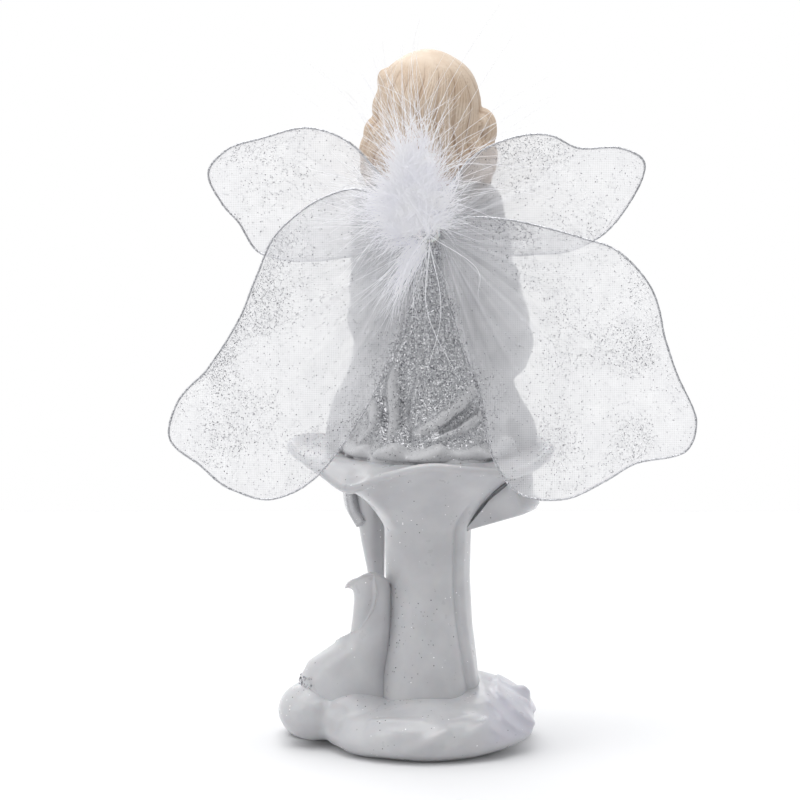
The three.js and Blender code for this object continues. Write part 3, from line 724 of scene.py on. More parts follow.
def make_under_petal(rim):
    """The petal edge that wraps under the bloom at the front right: a thick fold with a rounded lip."""
    reach = np.hypot(rim[:, 0], rim[:, 1])
    bearing = np.arctan2(rim[:, 1], rim[:, 0]) % TAU
    start, stop = (int(np.searchsorted(bearing, math.radians(at))) for at in (148, 284))
    rings = []
    for i in range(start, stop, 2):
        along = (i - start) / (stop - start)
        ends = 1 - smoothstep(0.0, 0.045, along) * smoothstep(1.0, 0.8, along)
        outer = 0.79 - 0.4 * max(0.0, along - 0.3) + 0.015 * math.sin(along * 21)
        shares = np.linspace(0.02, outer, 14)
        radius = STEM_RADIUS + (reach[i] - STEM_RADIUS) * shares**1.25
        outer_face = STEM_TOP + (rim[i, 2] - PETAL - STEM_TOP) * (1 - (1 - shares) ** 1.35)
        straight = STEM_TOP + 0.4 + 4.9 * (radius - STEM_RADIUS) / 15.5 + 0.5 * math.sin(along * 13) * shares
        lower = np.minimum(straight + (outer_face - straight) * ends, outer_face - 0.2)
        lower = lower - 0.5 * (1 - ends)
        nub = 1 - ends
        lip = np.array([[radius[-1] + 1.3 * nub, lower[-1] + 0.5 * nub], [radius[-1] + 2.2 * nub, lower[-1] + 2.0 * nub],
                        [radius[-1] + 1.9 * nub, lower[-1] + 3.6 * nub], [radius[-1] + 0.6 * nub, lower[-1] + 4.8 * nub]])
        section = np.vstack([np.stack([radius, lower], axis=1), lip, np.stack([radius, outer_face + 0.3], axis=1)[::-1]])
        direction = rim[i, :2] / reach[i]
        rings.append(np.column_stack([direction * section[:, :1], section[:, 1]]))
    points, faces = loft(rings)
    piece = add_mesh("lily_under_petal_edge", points, faces, RESIN, values={"lavender": np.zeros(len(points))})
    return place(piece, "figurine", "pearl_resin", "lily_under_petal")


# Rings of the small lily: height, middle x and y, and radii.
BUD_RINGS = [
    (6, 21.0, 2, 11.0, 9.5), (10, 21.6, 2, 12.4, 9.8), (13, 22.2, 1.8, 13.4, 10.0), (16, 22.8, 1.6, 13.8, 10.0),
    (19, 23.0, 1.6, 13.4, 9.8), (21.3, 22.7, 1.8, 12.5, 9.5), (23.6, 22.1, 2.2, 11.9, 9.0), (25.5, 20.9, 2.6, 10.7, 8.6),
    (27.6, 19.3, 3.0, 9.2, 8.2), (29.6, 17.8, 3.4, 7.7, 7.7), (32.4, 16.6, 4, 6.4, 7.1), (35.7, 16.0, 4.5, 5.8, 6.4),
    (39.2, 15.8, 4.9, 5.5, 5.9), (42.5, 15.7, 5, 5.3, 5.6), (44.5, 15.8, 5, 5.4, 5.5)]
# Where the outer petal's free edge runs: degrees from +X at each height.
BUD_EDGE_HEIGHTS = [28, 30.5, 32.4, 34.5, 37.1, 40.3, 44.4, 50]
BUD_EDGE_DEGREES = [-40, 0, 25, 55, 75, 92, 101, 96]


def make_small_lily():
    """A bud with a curled, pointed lip. Its foot sweeps out over the cloud, and one edge laps over the other."""
    table = spline(BUD_RINGS, 70)
    angle = np.arange(AROUND // 2) / (AROUND // 2) * TAU
    tip = bump(np.sin(angle / 2), 0.4)
    rows = []

    def row(z, x, y, rx, ry, grow=0.0, drop=0.0):
        rows.append(np.column_stack([x + (rx + grow) * np.cos(angle), y + (ry + grow) * np.sin(angle),
                                     np.broadcast_to(z, angle.shape) + drop]))

    def lap(z):
        edge = math.radians(np.interp(z, BUD_EDGE_HEIGHTS, BUD_EDGE_DEGREES))
        off = (angle - edge + math.pi) % TAU - math.pi
        raised = np.where(off > 0, 0.75 * np.exp(-(off / 0.75) ** 2), -1.5 * np.exp(-(off / 0.9) ** 2))
        soft = 0.45 * bump(off, 0.09)
        return (raised + soft) * smoothstep(26, 31, z)

    for z, x, y, rx, ry in table:
        row(z, x, y, rx, ry, grow=lap(z))
    z, x, y, rx, ry = table[-1]
    rise = 1.2 + (2.8 + 1.4 * np.sin(angle)) * np.abs(np.sin(angle)) ** 0.8 + 0.5 * tip
    for turn in np.linspace(0.12, 1, 10):
        flare = lap(z + 5 * turn) * (1 - 0.5 * turn) + 0.25 * turn + tip * 2.0 * turn**1.5 - 0.6 * (1 - tip) * turn**2
        row(z, x, y, rx, ry, grow=flare, drop=rise * turn - tip * 0.9 * turn**3)
    for turn in np.radians([15, 50, 90, 130, 165]):
        row(z, x, y, rx, ry, grow=0.3 + tip * 2.0 - 0.6 * (1 - tip) - 0.9 + 0.9 * np.cos(turn),
            drop=rise - tip * 0.9 + 0.9 * np.sin(turn))
    for depth, width in ((0.6, 0.84), (2.2, 0.74), (4.5, 0.6), (7.5, 0.42), (10, 0.24), (11.5, 0.08)):
        shrink = width + 0.25 * tip * max(0.0, 1 - depth / 3)
        row(z, x, y, rx * shrink, ry * shrink, drop=(rise - tip * 1.0) * max(0.0, 1 - depth / 6) - 0.45 * depth)
    points, faces = loft(rows)
    piece = add_mesh("small_lily_sculpt", points, faces, RESIN, values={"lavender": np.zeros(len(points))})
    return place(piece, "figurine", "pearl_resin", "small_lily")


# ---------- gown ----------
# Sleeves from the shoulder to the wrist, and how thick they are.
LEFT_ARM = [(15.5, -1, 154), (15.8, -1, 140), (16, -3, 120.5), (12, -14, 111.8), (6, -21, 108.9)]
LEFT_ARM_RADII = [5.4, 5.8, 5.9, 5.2, 4.0]
RIGHT_ARM = [(-15.5, -1, 154), (-18.5, -1, 138.2), (-23, -5, 112.9), (-15, -19, 106.1), (-8, -25, 104.2)]
RIGHT_ARM_RADII = [5.4, 5.9, 6.5, 5.2, 4.0]


# The body under the cloth: height, middle y, and radii.
BODY_RINGS = spline([
    [SEAT - 6, -4, 23.4, 24.2, 0], [SEAT + 0.5, -4, 23.6, 24.0, 0], [SEAT + 5, -4.5, 22.3, 21.8, 0],
    [SEAT + 12, -4.6, 20.6, 19.0, 0], [SEAT + 19, -3, 18.4, 15.2, 0], [SEAT + 28, -1.6, 14.6, 11.8, 0],
    [SEAT + 35, -1.6, 12.2, 9.8, 0], [WAIST, -2, 11.2, 8.8, 0], [WAIST + 9, -2, 12.0, 8.9, 0],
    [WAIST + 19, -2, 13.6, 9.2, 0], [WAIST + 27, -2, 14.2, 8.8, 0], [WAIST + 32, -2.1, 11.6, 7.4, 0],
    [WAIST + 35, -2.3, 7.2, 6.0, 0], [NECK_BASE, -2.5, 5.2, 5.0, 0]], 120)


def body_radii(z):
    return [np.interp(z, BODY_RINGS[:, 0], BODY_RINGS[:, i]) for i in (1, 2, 3)]


def over_body(x, y, z):
    """Distance above the body, roughly."""
    cy, rx, ry = body_radii(z)
    return (np.sqrt((x / rx) ** 2 + ((y - cy) / ry) ** 2) - 1) * np.minimum(rx, ry)


def on_back(x, z, sink=0.0):
    """The point of the body's back at x and height z."""
    cy, rx, ry = body_radii(z)
    return (x, float(cy + ry * math.sqrt(max(0.0, 1 - (x / rx) ** 2)) - sink), z)


# Folds of the skirt's back as (x, height) pairs, with their thickness.
FOLDS = [
    ([(7.5, 112), (9.3, 104), (9.2, 96), (10.4, 90.5), (14.0, 86.2)], 2.5),
    ([(13.0, 107), (15.6, 100), (14.6, 93.5), (18.2, 87.5)], 2.4),
    ([(-12.6, 104), (-9.5, 99.6), (-5.6, 96), (0.4, 92), (5.6, 90)], 2.4),
    ([(-16.0, 97), (-11.5, 93.6), (-6.4, 91), (-0.4, 88.6)], 2.0),
    ([(1.4, 108), (3.4, 101), (5.0, 95.5)], 1.3),
    ([(-17.2, 106), (-19.6, 98), (-20.4, 90)], 1.6),
    ([(17.4, 104), (20.2, 96), (20.9, 89)], 1.6),
]


def make_gown():
    """Dress, sleeves and lap in one: bodice, hips, a skirt that settles in folds, and soft sleeves."""
    clay = Clay((-35, -38, SEAT - 6), (33, 25, NECK_BASE + 1), 0.44)
    clay.everywhere(over_body)
    # Thighs and knees under the cloth, which point to the front.
    clay.limb([(-6, -4, 96), (-6, -18, 96), (-4, -25.5, 92.5)], [9, 8, 6.4], blend=5)
    clay.limb([(8, -4, 96), (9.5, -18, 95.5), (11, -25.5, 92)], [9, 8, 6.4], blend=5)
    for arm, radii in ((LEFT_ARM, LEFT_ARM_RADII), (RIGHT_ARM, RIGHT_ARM_RADII)):
        clay.limb(arm, radii, blend=1.6, count=40)
    for side in (-1, 1):
        clay.lump((side * 13.2, -1.5, 154.5), (5.4, 6.0, 5.0), blend=2.5)
        clay.limb([(side * 12.5, -1.5, 150), (side * 14, -2, 134), (side * 16.5, -3.5, 116), (side * 17, -5, 104)],
                  [4.0, 4.2, 4.6, 4.0], blend=2.0)
        # The sleeve's cuff, gathered behind the wrist.
        x, y, z = (LEFT_ARM if side > 0 else RIGHT_ARM)[-1]
        cuff = [(x + side * 0.6 + 1.2 * math.cos(a), y + 1.4 + 1.2 * math.cos(a), z + 4.2 * math.sin(a)) for a in np.linspace(0, TAU, 14)]
        clay.limb(cuff, 0.7, blend=0.6)
    for path, radius in FOLDS:
        route = spline([on_back(x, z, 0.2 * radius) for x, z in path], 9)
        taper = radius * np.clip(np.sin(np.linspace(0.16, 0.94, 9) * math.pi) ** 0.5, 0.4, 1)
        clay.limb(route, taper, blend=1.4)
    for path in ([(12.2, 99), (11.6, 94), (11.8, 89)], [(-13, 97), (-9, 94.5), (-4, 91.6)], [(6.6, 99), (6.2, 93), (5.2, 88)]):
        route = [on_back(x, z, -0.2) for x, z in path]
        clay.limb(route, [0.4, *[0.7] * (len(route) - 2), 0.4], blend=2.0, carve=True)
    for side, spread in ((-1, 27.5), (1, 25.5)):
        clay.limb([(side * 19, -3, 104), (side * 22.5, -5, 95), (side * (spread - 1), -6, 88.5), (side * spread, -6, 85)],
                  [4.5, 5.0, 4.2, 2.6], blend=3.5)
    for front in (-12.5, -1.5, 3, 15.5):
        clay.limb([(front, -14, 103), (front * 1.04, -22, 101), (front * 1.06, -28, 96), (front * 1.08, -29, 88)],
                  [0.6, 1.3, 1.4, 0.8], blend=2.6)

    def cloth(x, y, z):
        angle = np.arctan2(y + 3, x)
        back = smoothstep(-2, 6, y) * smoothstep(17, 13, np.abs(x))
        low = smoothstep(SEAT + 24, SEAT + 4, z) * (1 - 0.75 * back)
        wander = noise_a(x / 14, y / 14, z / 16) * 2.6
        pleats = np.sin(19 * angle + wander + 0.05 * z)
        gathers = np.sin(30 * angle + wander * 1.4) * smoothstep(SEAT + 22, SEAT + 32, z) * smoothstep(WAIST + 5, WAIST - 3, z)
        arms = smoothstep(12.0, 16.0, np.abs(x)) * smoothstep(100, 106, z) * smoothstep(150, 140, z)
        slant = z * 0.55 - 0.35 * np.abs(x) + 0.3 * y + 2.2 * noise_a(x / 9, y / 9, z / 12)
        wrinkle = np.sin(slant * 1.0) * (0.6 + 0.4 * noise_b(x / 6, y / 6, z / 8)) * arms
        soft = noise_b(x / 8, y / 8, z / 11)
        return 0.6 * pleats * low + 0.25 * gathers + 0.55 * wrinkle + 0.4 * soft

    clay.displace(cloth)
    # The gathered roll at the waist.
    ring = [(11.6 * math.cos(a), -2 + 9.3 * math.sin(a), WAIST - 0.4 + 0.5 * math.sin(3 * a)) for a in np.linspace(0, TAU, 20)]
    clay.limb(ring, 0.7, blend=1.6, count=80)
    # Her back's middle seam, down from the neck.
    clay.limb([(0, 7.0, 152), (0, 7.2, 140), (0, 6.8, 128)], 0.4, blend=0.8, carve=True)
    clay.cut_below(SEAT - 3)
    points, faces = clay.mesh()
    x, y, z = points.T
    proud = over_body(x, y, z)
    centre = np.maximum(smoothstep(19, 12, np.abs(x)), smoothstep(-6, -12, y))
    amount = (0.35 + 0.65 * centre) * smoothstep(SEAT + 2.2, SEAT + 6, z) * (1 - 0.8 * smoothstep(0.7, 1.7, proud) * smoothstep(116, 106, z) * smoothstep(-8, 0, y))
    piece = add_mesh("gown", points, faces, GLITTER, values={"glitter": amount})
    return place(piece, "figurine", "glitter_dress", "skirt", "bodice", "left_sleeve", "right_sleeve")


def make_hem():
    """The skirt's hem: a wavy roll of cloth that lies in the bloom, all the way round."""
    rows = []
    steps = 720
    angle = np.arange(steps) / steps * TAU
    cos, sin = np.cos(angle), np.sin(angle)
    wave = np.sin(5 * angle + 0.8) * 0.5 + np.sin(11 * angle + 2.1) * 0.4 + np.sin(23 * angle) * 0.2
    profile = [(0.74, 5.2, 0.1), (0.86, 4.4, 0.5), (0.93, 4.0, 0.9), (0.98, 3.5, 1.0), (1.015, 2.7, 1.0), (1.03, 1.8, 1.0),
               (1.02, 0.9, 1.0), (0.99, 0.3, 0.9), (0.92, 0.0, 0.5), (0.74, 0.1, 0.0)]
    for share, height, weight in profile[::-1]:
        radius = 1 + weight * 0.06 * wave
        x = 24.0 * share * radius * cos
        y = -2.6 + 22.9 * share * radius * sin
        z = SEAT + height * (1 + 0.3 * weight * wave) + weight * (0.9 * np.sin(7 * angle + 1.0) + 0.5 * np.sin(12 * angle + 0.4)) * (0.2 if height < 1 else 1.0) + 0.2
        rows.append(np.column_stack([x, y, z]))
    points, faces = loft(rows)
    piece = add_mesh("skirt_hem", points, faces, GLITTER, values={"glitter": np.full(len(points), 0.06)})
    return place(piece, "figurine", "glitter_dress")


def make_drape():
    """The skirt's front, which spills over the rim and hangs to the shins in narrow pleats."""
    rows = [(-24, 97.5, -10, 13), (-29, 95.5, -13.5, 16), (-33, 91, -15.5, 19.5), (-34, 84, -14.5, 22.0),
            (-34.2, 76, -12.8, 23.9), (-34, 71.5, -11.4, 24.4), (-33.6, 66.5, -10, 23.6), (-33.2, 62.0, -9, 21.0)]
    table = spline(rows, 64)
    across = np.linspace(0, 1, 141)
    rings, amounts = [], []
    for i, (y, z, left, right) in enumerate(table[::-1]):
        down = 1 - i / (len(table) - 1)
        x = left + (right - left) * across
        swing = 0.8 * np.sin(6 * down + 9 * across)
        pleat = np.cos(across * TAU * 7.5 + swing) * (0.25 + 0.75 * down)
        bow = (5 + 2.5 * smoothstep(0.45, 0.8, down)) * (2 * across - 1) ** 2
        hem_wave = 0.9 * np.cos(across * TAU * 7.5 + 1.0) * smoothstep(0.85, 1, down)
        height = z - 0.12 * x + hem_wave
        thick = (1.9 + 0.6 * (1 - down) + 4.6 * smoothstep(0.2, 0.75, np.abs(2 * across - 1))) * (1 - 0.8 * smoothstep(0.94, 1, np.abs(2 * across - 1)) ** 2)
        front = np.column_stack([x, y + bow + pleat, height])
        back = np.column_stack([x, y + bow + pleat + thick, height])
        rings.append(np.vstack([front, back[::-1]]))
        amounts.append(np.concatenate([np.full(141, 0.8), np.full(141, 0.1)]))
    points, faces = loft(rings)
    amount = np.concatenate([np.concatenate(amounts), [0.4, 0.4]])
    piece = add_mesh("skirt_front_fold", points, faces, GLITTER, values={"glitter": amount})
    return place(piece, "figurine", "glitter_dress", "skirt_front")


# ---------- hands, legs and feet ----------
def make_hand(side):
    """side is 1 for her left hand and -1 for her right."""
    wrist = np.array(LEFT_ARM[-1] if side > 0 else RIGHT_ARM[-1], dtype=float)
    drop = np.array([0, 0, 0.2])
    along = np.array([-side * 0.86, -0.42, -0.28])
    along /= np.linalg.norm(along)
    flat = np.array([along[1], -along[0], 0.0]) * side
    flat /= np.linalg.norm(flat)
    up = np.cross(along, flat)
    start = wrist + drop
    clay = Clay(start - (13, 9, 8), start + (13, 7, 6), 0.16)

    def at(forward, across, rise=0.0):
        return start + along * forward + flat * across + up * rise

    clay.limb([at(-4, 0), at(0, 0), at(2.5, 0)], [2.5, 2.2, 1.9], blend=0.4)
    clay.limb([at(2, 0.9), at(5.5, 1.5)], [1.6, 1.3], blend=0.8)
    clay.limb([at(2, -0.9), at(5.5, -1.4)], [1.6, 1.2], blend=0.8)
    for across, reach in ((1.9, 9.6), (0.7, 10.5), (-0.5, 10.1), (-1.7, 8.9)):
        clay.limb([at(5, across * 0.9), at(reach - 2.2, across * 1.15, 0.1), at(reach, across * 1.2, -0.7)],
                  [0.78, 0.68, 0.5], blend=0.25)
    clay.limb([at(2.4, 1.8), at(5, 3.4, -0.4), at(6.8, 3.6, -0.9)], [0.95, 0.8, 0.58], blend=0.4)
    points, faces = clay.mesh()
    name = "left_hand" if side > 0 else "right_hand"
    zero = np.zeros(len(points))
    piece = add_mesh(name + "_sculpt", points, faces, SKIN, values={"blush": zero, "lips": zero, "brow": zero})
    return place(piece, "figurine", "painted_skin", name)


def make_leg(side):
    """A shin and a bare foot with five toes."""
    x, y, lean = (15.4, -25.5, -1.0) if side > 0 else (3.5, -27.0, 5.0)
    top = SEAT - 13
    ankle = np.array([x + 0.8 * lean, y - 0.2, top - 34.85])
    clay = Clay(ankle - (9, 12, 13), ankle + (9, 8, 37), 0.3)
    knee = max(0, side)
    clay.limb([(x + 1.6 * knee, y + 0.6, top + 1), (x + 0.1 * lean + 1.2 * knee, y + 0.8, top - 6),
               (x + 0.35 * lean + 0.7 * knee, y + 0.9, top - 15), (x + 0.6 * lean, y + 0.3, top - 26), ankle],
              [3.2 + 0.9 * knee, 3.45 + 0.6 * knee, 3.2 + 0.3 * knee, 2.4, 1.95], count=30)
    heel = ankle + (0, 1.1, -4.0)
    ball = ankle + (0.2 * lean, -5.4, -9.4)
    clay.limb([ankle, heel], [1.9, 1.8], blend=0.8)
    clay.limb([ankle + (0, -0.4, -1), ankle + (0.1 * lean, -2.6, -5.4), ball], [2.0, 2.1, 1.9], blend=0.8)
    clay.limb([heel, ball + (0, 0.8, 0)], [1.7, 1.6], blend=1.0)
    for k in range(5):
        off = (k - 2) * 0.78 * side
        size = (0.92, 0.74, 0.68, 0.64, 0.58)[k if side < 0 else 4 - k]
        toe = ball + (off, -0.3 * abs(k - 2), -0.2)
        reach = (1.05, 1.0, 0.86, 0.7, 0.52)[k if side < 0 else 4 - k]
        clay.limb([toe, toe + (0, -1.5 * reach, -1.7 * reach), toe + (0, -2.1 * reach, -2.6 * reach)], [size + 0.15, size, size * 0.9], blend=0.35)
    for z in (0, 1):
        clay.lump(ankle + ((1.6 if z else -1.6), 0.2, -0.8), (0.8, 0.9, 1.0), blend=0.6)
    points, faces = clay.mesh()
    name = "left_leg" if side > 0 else "right_leg"
    zero = np.zeros(len(points))
    piece = add_mesh(name + "_sculpt", points, faces, RESIN, values={"lavender": zero})
    return place(piece, "figurine", "pearl_resin", name)


# ---------- head ----------
def make_head():
    """A calm girl's face with lowered lids. Eye line halfway down the head, nose and mouth on the usual thirds."""
    cx, cy, _ = HEAD
    chin, eyes, nose, mouth = NECK_BASE + 7.0, NECK_BASE + 19.5, NECK_BASE + 14.2, NECK_BASE + 11.2
    clay = Clay((-13.5, -19, NECK_BASE - 1), (13.5, 9.5, NECK_BASE + 35), 0.24)
    clay.lump((0, -3.2, NECK_BASE + 22.5), (10.9, 11.6, 11.4), 0)
    clay.lump((0, -7.0, NECK_BASE + 16), (9.0, 8.6, 9.8), blend=3)
    clay.lump((0, -10.2, NECK_BASE + 10.6), (5.6, 4.6, 4.4), blend=3)
    clay.lump((0, -13.0, chin + 1.4), (2.7, 2.2, 2.0), blend=2)
    for s in (-1, 1):
        clay.lump((s * 5.2, -11.6, NECK_BASE + 14.5), (3.2, 3.0, 3.0), blend=2.5)
        clay.lump((s * 4.4, -13.6, eyes + 3.4), (3.0, 1.3, 1.0), blend=1.6)
        clay.lump((s * 4.3, -15.0, eyes), (2.5, 1.6, 1.6), blend=1.2, carve=True)
        clay.lump((s * 4.3, -12.9, eyes - 0.1), (2.05, 1.75, 1.65), blend=0.25)
        lid = [(s * 2.4, -14.05, eyes - 0.5), (s * 3.4, -14.75, eyes - 1.0), (s * 4.4, -14.85, eyes - 1.15),
               (s * 5.5, -14.3, eyes - 0.9), (s * 6.3, -13.5, eyes - 0.4)]
        clay.limb(lid, [0.16, 0.24, 0.28, 0.24, 0.16], blend=0.1)
        crease = [(s * 2.5, -14.2, eyes + 1.0), (s * 4.3, -14.75, eyes + 1.5), (s * 6.1, -13.7, eyes + 0.9)]
        clay.limb(crease, 0.2, blend=0.4, carve=True)
    clay.limb([(0, -14.4, eyes + 1.5), (0, -15.6, nose + 3), (0, -17.0, nose + 0.6)], [0.85, 0.95, 1.15], blend=1.3)
    clay.lump((0, -16.9, nose + 0.2), (1.25, 1.25, 1.05), blend=0.7)
    for s in (-1, 1):
        clay.lump((s * 1.45, -15.9, nose - 0.05), (0.85, 1.1, 0.8), blend=0.6)
        clay.lump((s * 0.75, -16.6, nose - 0.95), (0.38, 0.5, 0.35), blend=0.25, carve=True)
    clay.limb([(0, -16.0, nose - 1.2), (0, -15.4, mouth + 1.2)], 0.4, blend=0.5, carve=True)
    clay.limb([(-2.5, -14.1, mouth + 0.1), (-1, -15.3, mouth + 0.65), (0, -15.35, mouth + 0.5), (1, -15.3, mouth + 0.65),
               (2.5, -14.1, mouth + 0.1)], [0.25, 0.58, 0.52, 0.58, 0.25], blend=0.4)
    clay.limb([(-2.2, -14.1, mouth - 0.45), (0, -15.2, mouth - 0.95), (2.2, -14.1, mouth - 0.45)], [0.3, 0.78, 0.3], blend=0.45)
    clay.limb([(-2.7, -14.2, mouth + 0.05), (0, -15.95, mouth - 0.12), (2.7, -14.2, mouth + 0.05)], [0.16, 0.22, 0.16],
              blend=0.2, carve=True)
    clay.lump((0, -14.9, mouth - 2.3), (1.5, 0.7, 0.6), blend=0.9, carve=True)
    for s in (-1, 1):
        clay.lump((s * 10.4, -3.6, eyes - 2), (1.3, 2.4, 3.3), blend=0.6)
    clay.limb([(0, -2.5, NECK_BASE - 2), (0, -2.6, NECK_BASE + 4), (0, -4, NECK_BASE + 12)], [4.9, 4.3, 4.6], blend=2)
    points, faces = clay.mesh()
    x, y, z = points.T
    front = smoothstep(-10, -12.5, y)
    blush = bump(np.abs(x) - 5.8, 2.6) * bump(z - (NECK_BASE + 14.3), 2.6) * front * 0.6
    upper = mouth + 0.85 - 0.35 * np.abs(np.abs(x) - 0.9) - 0.05 * x**2
    lips = smoothstep(3.0, 2.2, np.abs(x)) * smoothstep(0.25, -0.1, z - upper) * smoothstep(-0.25, 0.1, z - (mouth - 1.55 + 0.22 * x**2)) * front
    arch = eyes + 4.0 - 0.10 * (np.abs(x) - 4.0) ** 2
    brow = smoothstep(0.62, 0.25, np.abs(z - arch)) * smoothstep(1.7, 2.4, np.abs(x)) * smoothstep(7.4, 6.2, np.abs(x)) * front * 0.75
    lash_line = eyes - 1.0 + 0.085 * (np.abs(x) - 4.4) ** 2
    lash = smoothstep(0.42, 0.2, np.abs(z - lash_line + 0.1)) * smoothstep(1.9, 2.5, np.abs(x)) * smoothstep(6.8, 6.1, np.abs(x)) * front
    piece = add_mesh("head_sculpt", points, faces, SKIN,
                     values={"blush": blush, "lips": lips * 0.85, "brow": np.maximum(brow, lash)})
    return place(piece, "figurine", "painted_skin", "head")


# ---------- hair ----------
STRANDS, LOCKS = 52, 9  # grooves in half a turn round the head


def strand_angle(x, y, z):
    """Angle round the head that the hair at a point was combed from."""
    _, hy, hz = HEAD
    angle = np.arctan2(y - hy - 1.0, x)
    sway = 0.16 * np.sin(z / 5.2 + 2 * angle) * smoothstep(hz + 4, hz - 12, z)
    return angle + sway + 0.12 * noise_a(x / 8, y / 8, z / 12)


def hair_grooves(x, y, z):
    """Two sets of grooves, from 0 on a ridge to 1 in a groove: between the locks and between the strands."""
    angle = strand_angle(x, y, z)
    locks = 1 - np.abs(np.sin(angle * LOCKS + 0.9 * noise_b(x / 9, y / 9, z / 14)))
    strands = 1 - np.abs(np.sin(angle * STRANDS + 1.8 * noise_a(x / 5, y / 5, z / 9)))
    return locks, strands


def make_hair():
    """A full head of long hair: combed from the crown, wavy at the sides, with curled ends on the shoulders."""
    _, hy, hz = HEAD
    clay = Clay((-21.5, -20, NECK_BASE - 1), (21.5, 14.5, hair_high[2] + 1.5), 0.27)
    clay.lump((0, hy + 0.2, hz + 1.2), (14.9, 15.2, 16.7), 0)
    clay.lump((0.3, hy + 2.0, hz - 6), (14.9, 12.6, 11), blend=3)
    clay.lump((0, hy + 4.2, hz - 13), (17.6, 9.4, 8), blend=3)
    # Waves at her left side, and a rounder curl at her right.
    for x, z, r in ((12.0, 9.0, 2.2), (12.6, 1.6, 3.2), (14.2, -6.4, 4.0), (14.4, -13.0, 4.2)):
        clay.lump((x, hy + 0.5, hz + z), (r * 0.95, r * 2.0, r * 1.4), blend=1.0)
    for x, z, r in ((-15.0, -4.4, 4.7), (-15.6, -12.0, 3.9)):
        clay.lump((x, hy + 0.3, hz + z), (r * 0.95, r * 1.5, r * 1.25), blend=0.8)
    # Room for the face, and a parting that shows the forehead.
    clay.lump((0, hy - 13, hz - 5.5), (8.7, 10.8, 14.2), blend=1.2, carve=True)
    clay.lump((0, hy - 11, hz + 4.5), (7.4, 6.5, 5.2), blend=1.2, carve=True)
    clay.lump((0, hy - 7, hz - 16), (8.6, 8.0, 9), blend=1.5, carve=True)
    # Rolled ends along the shoulders.
    rng = np.random.default_rng(11)
    for a in np.linspace(-12, 192, 17):
        r = math.radians(a)
        x, y = 16.2 * math.cos(r), hy + 3.4 + 7.4 * math.sin(r)
        turn = rng.uniform(-0.6, 0.6)
        drop = rng.uniform(-1.4, 0.8)
        clay.limb([(x * 0.93, y - 0.6, hz - 6 + drop), (x * 1.02, y + 0.5 * math.sin(r), hz - 11 + drop),
                   (x * 1.0 + turn, y + 0.6 * math.sin(r), hz - 15.5 + drop), (x * 0.9 + 1.6 * turn, y - 0.6, hz - 18.2 + drop * 0.4)],
                  [1.5, 2.4, 2.2, 1.0], blend=1.1)

    def comb(x, y, z):
        crown = smoothstep(hair_high[2] - 0.4, hair_high[2] - 7.5, z)
        locks, strands = hair_grooves(x, y, z)
        lower = 0.35 + 0.65 * smoothstep(hz + 6, hz - 8, z)
        return crown * (-0.9 * locks**2 * lower - 0.36 * strands**1.5 + 0.25) + 0.4 * noise_b(x / 6, y / 6, z / 8)

    clay.displace(comb)
    parting = [(0.4, hy - 10.5, hz + 12.2), (0.2, hy - 7, hz + 15.8), (0, hy - 3, hz + 17.6)]
    clay.limb(parting, [0.6, 0.6, 0.3], blend=0.8, carve=True)
    points, faces = clay.mesh()
    x, y, z = points.T
    locks, strands = hair_grooves(x, y, z)
    # Painted shade: the groove value darkens the hair in the grooves between locks and strands, and towards the curled
    # ends.
    ends = smoothstep(hz - 6, hz - 16, z)
    crown = smoothstep(hair_high[2] - 1, hair_high[2] - 11, z)
    groove = np.clip(crown * (0.5 * locks**4 + 0.6 * strands**3 + 0.12) + 0.3 * ends, 0, 1)
    piece = add_mesh("hair_sculpt", points, faces, HAIR, values={"groove": groove})
    return place(piece, "figurine", "painted_hair", "hair")


def make_lock(side):
    """A twisted lock that falls in front of her shoulder."""
    x, hy, hz = side * 19.5, HEAD[1], HEAD[2]
    path = spline([(x * 0.66, hy - 7.2, hz - 2), (x * 0.86, hy - 6.8, hz - 11), (x * 0.82, hy - 8, NECK_BASE + 0.5),
                   (x * 0.66, hy - 9.6, NECK_BASE - 8), (x * 0.58, hy - 9.6, NECK_BASE - 16)], 90)
    tangent = np.gradient(path, axis=0)
    tangent /= np.linalg.norm(tangent, axis=1, keepdims=True)
    across = np.cross(tangent, [0.0, 1.0, 0.0])
    across /= np.linalg.norm(across, axis=1, keepdims=True)
    other = np.cross(tangent, across)
    t = np.linspace(0, 1, len(path))
    envelope = np.sin(np.clip(t * 1.1 + 0.12, 0, 1) * math.pi) ** 0.5
    parts = []
    for k in range(3):
        phase = TAU * k / 3 + side * t * 9
        centre = path + (across * np.cos(phase)[:, None] + other * np.sin(phase)[:, None]) * (1.25 * envelope)[:, None]
        parts.append(tube_mesh(centre, 1.75 * envelope * (1 - 0.45 * t) + 0.08, 14))
    points, faces = merge(parts)
    name = "left_hair_lock" if side > 0 else "right_hair_lock"
    z = points[:, 2]
    # Painted shade: darker bands along the twisted lock, standing in for shade between its strands.
    groove = 0.3 + 0.3 * np.sin(z * 2.2 + points[:, 0] * 3)
    piece = add_mesh(name + "_sculpt", points, faces, HAIR, values={"groove": np.clip(groove, 0, 1)})
    return place(piece, "figurine", "painted_hair", name)


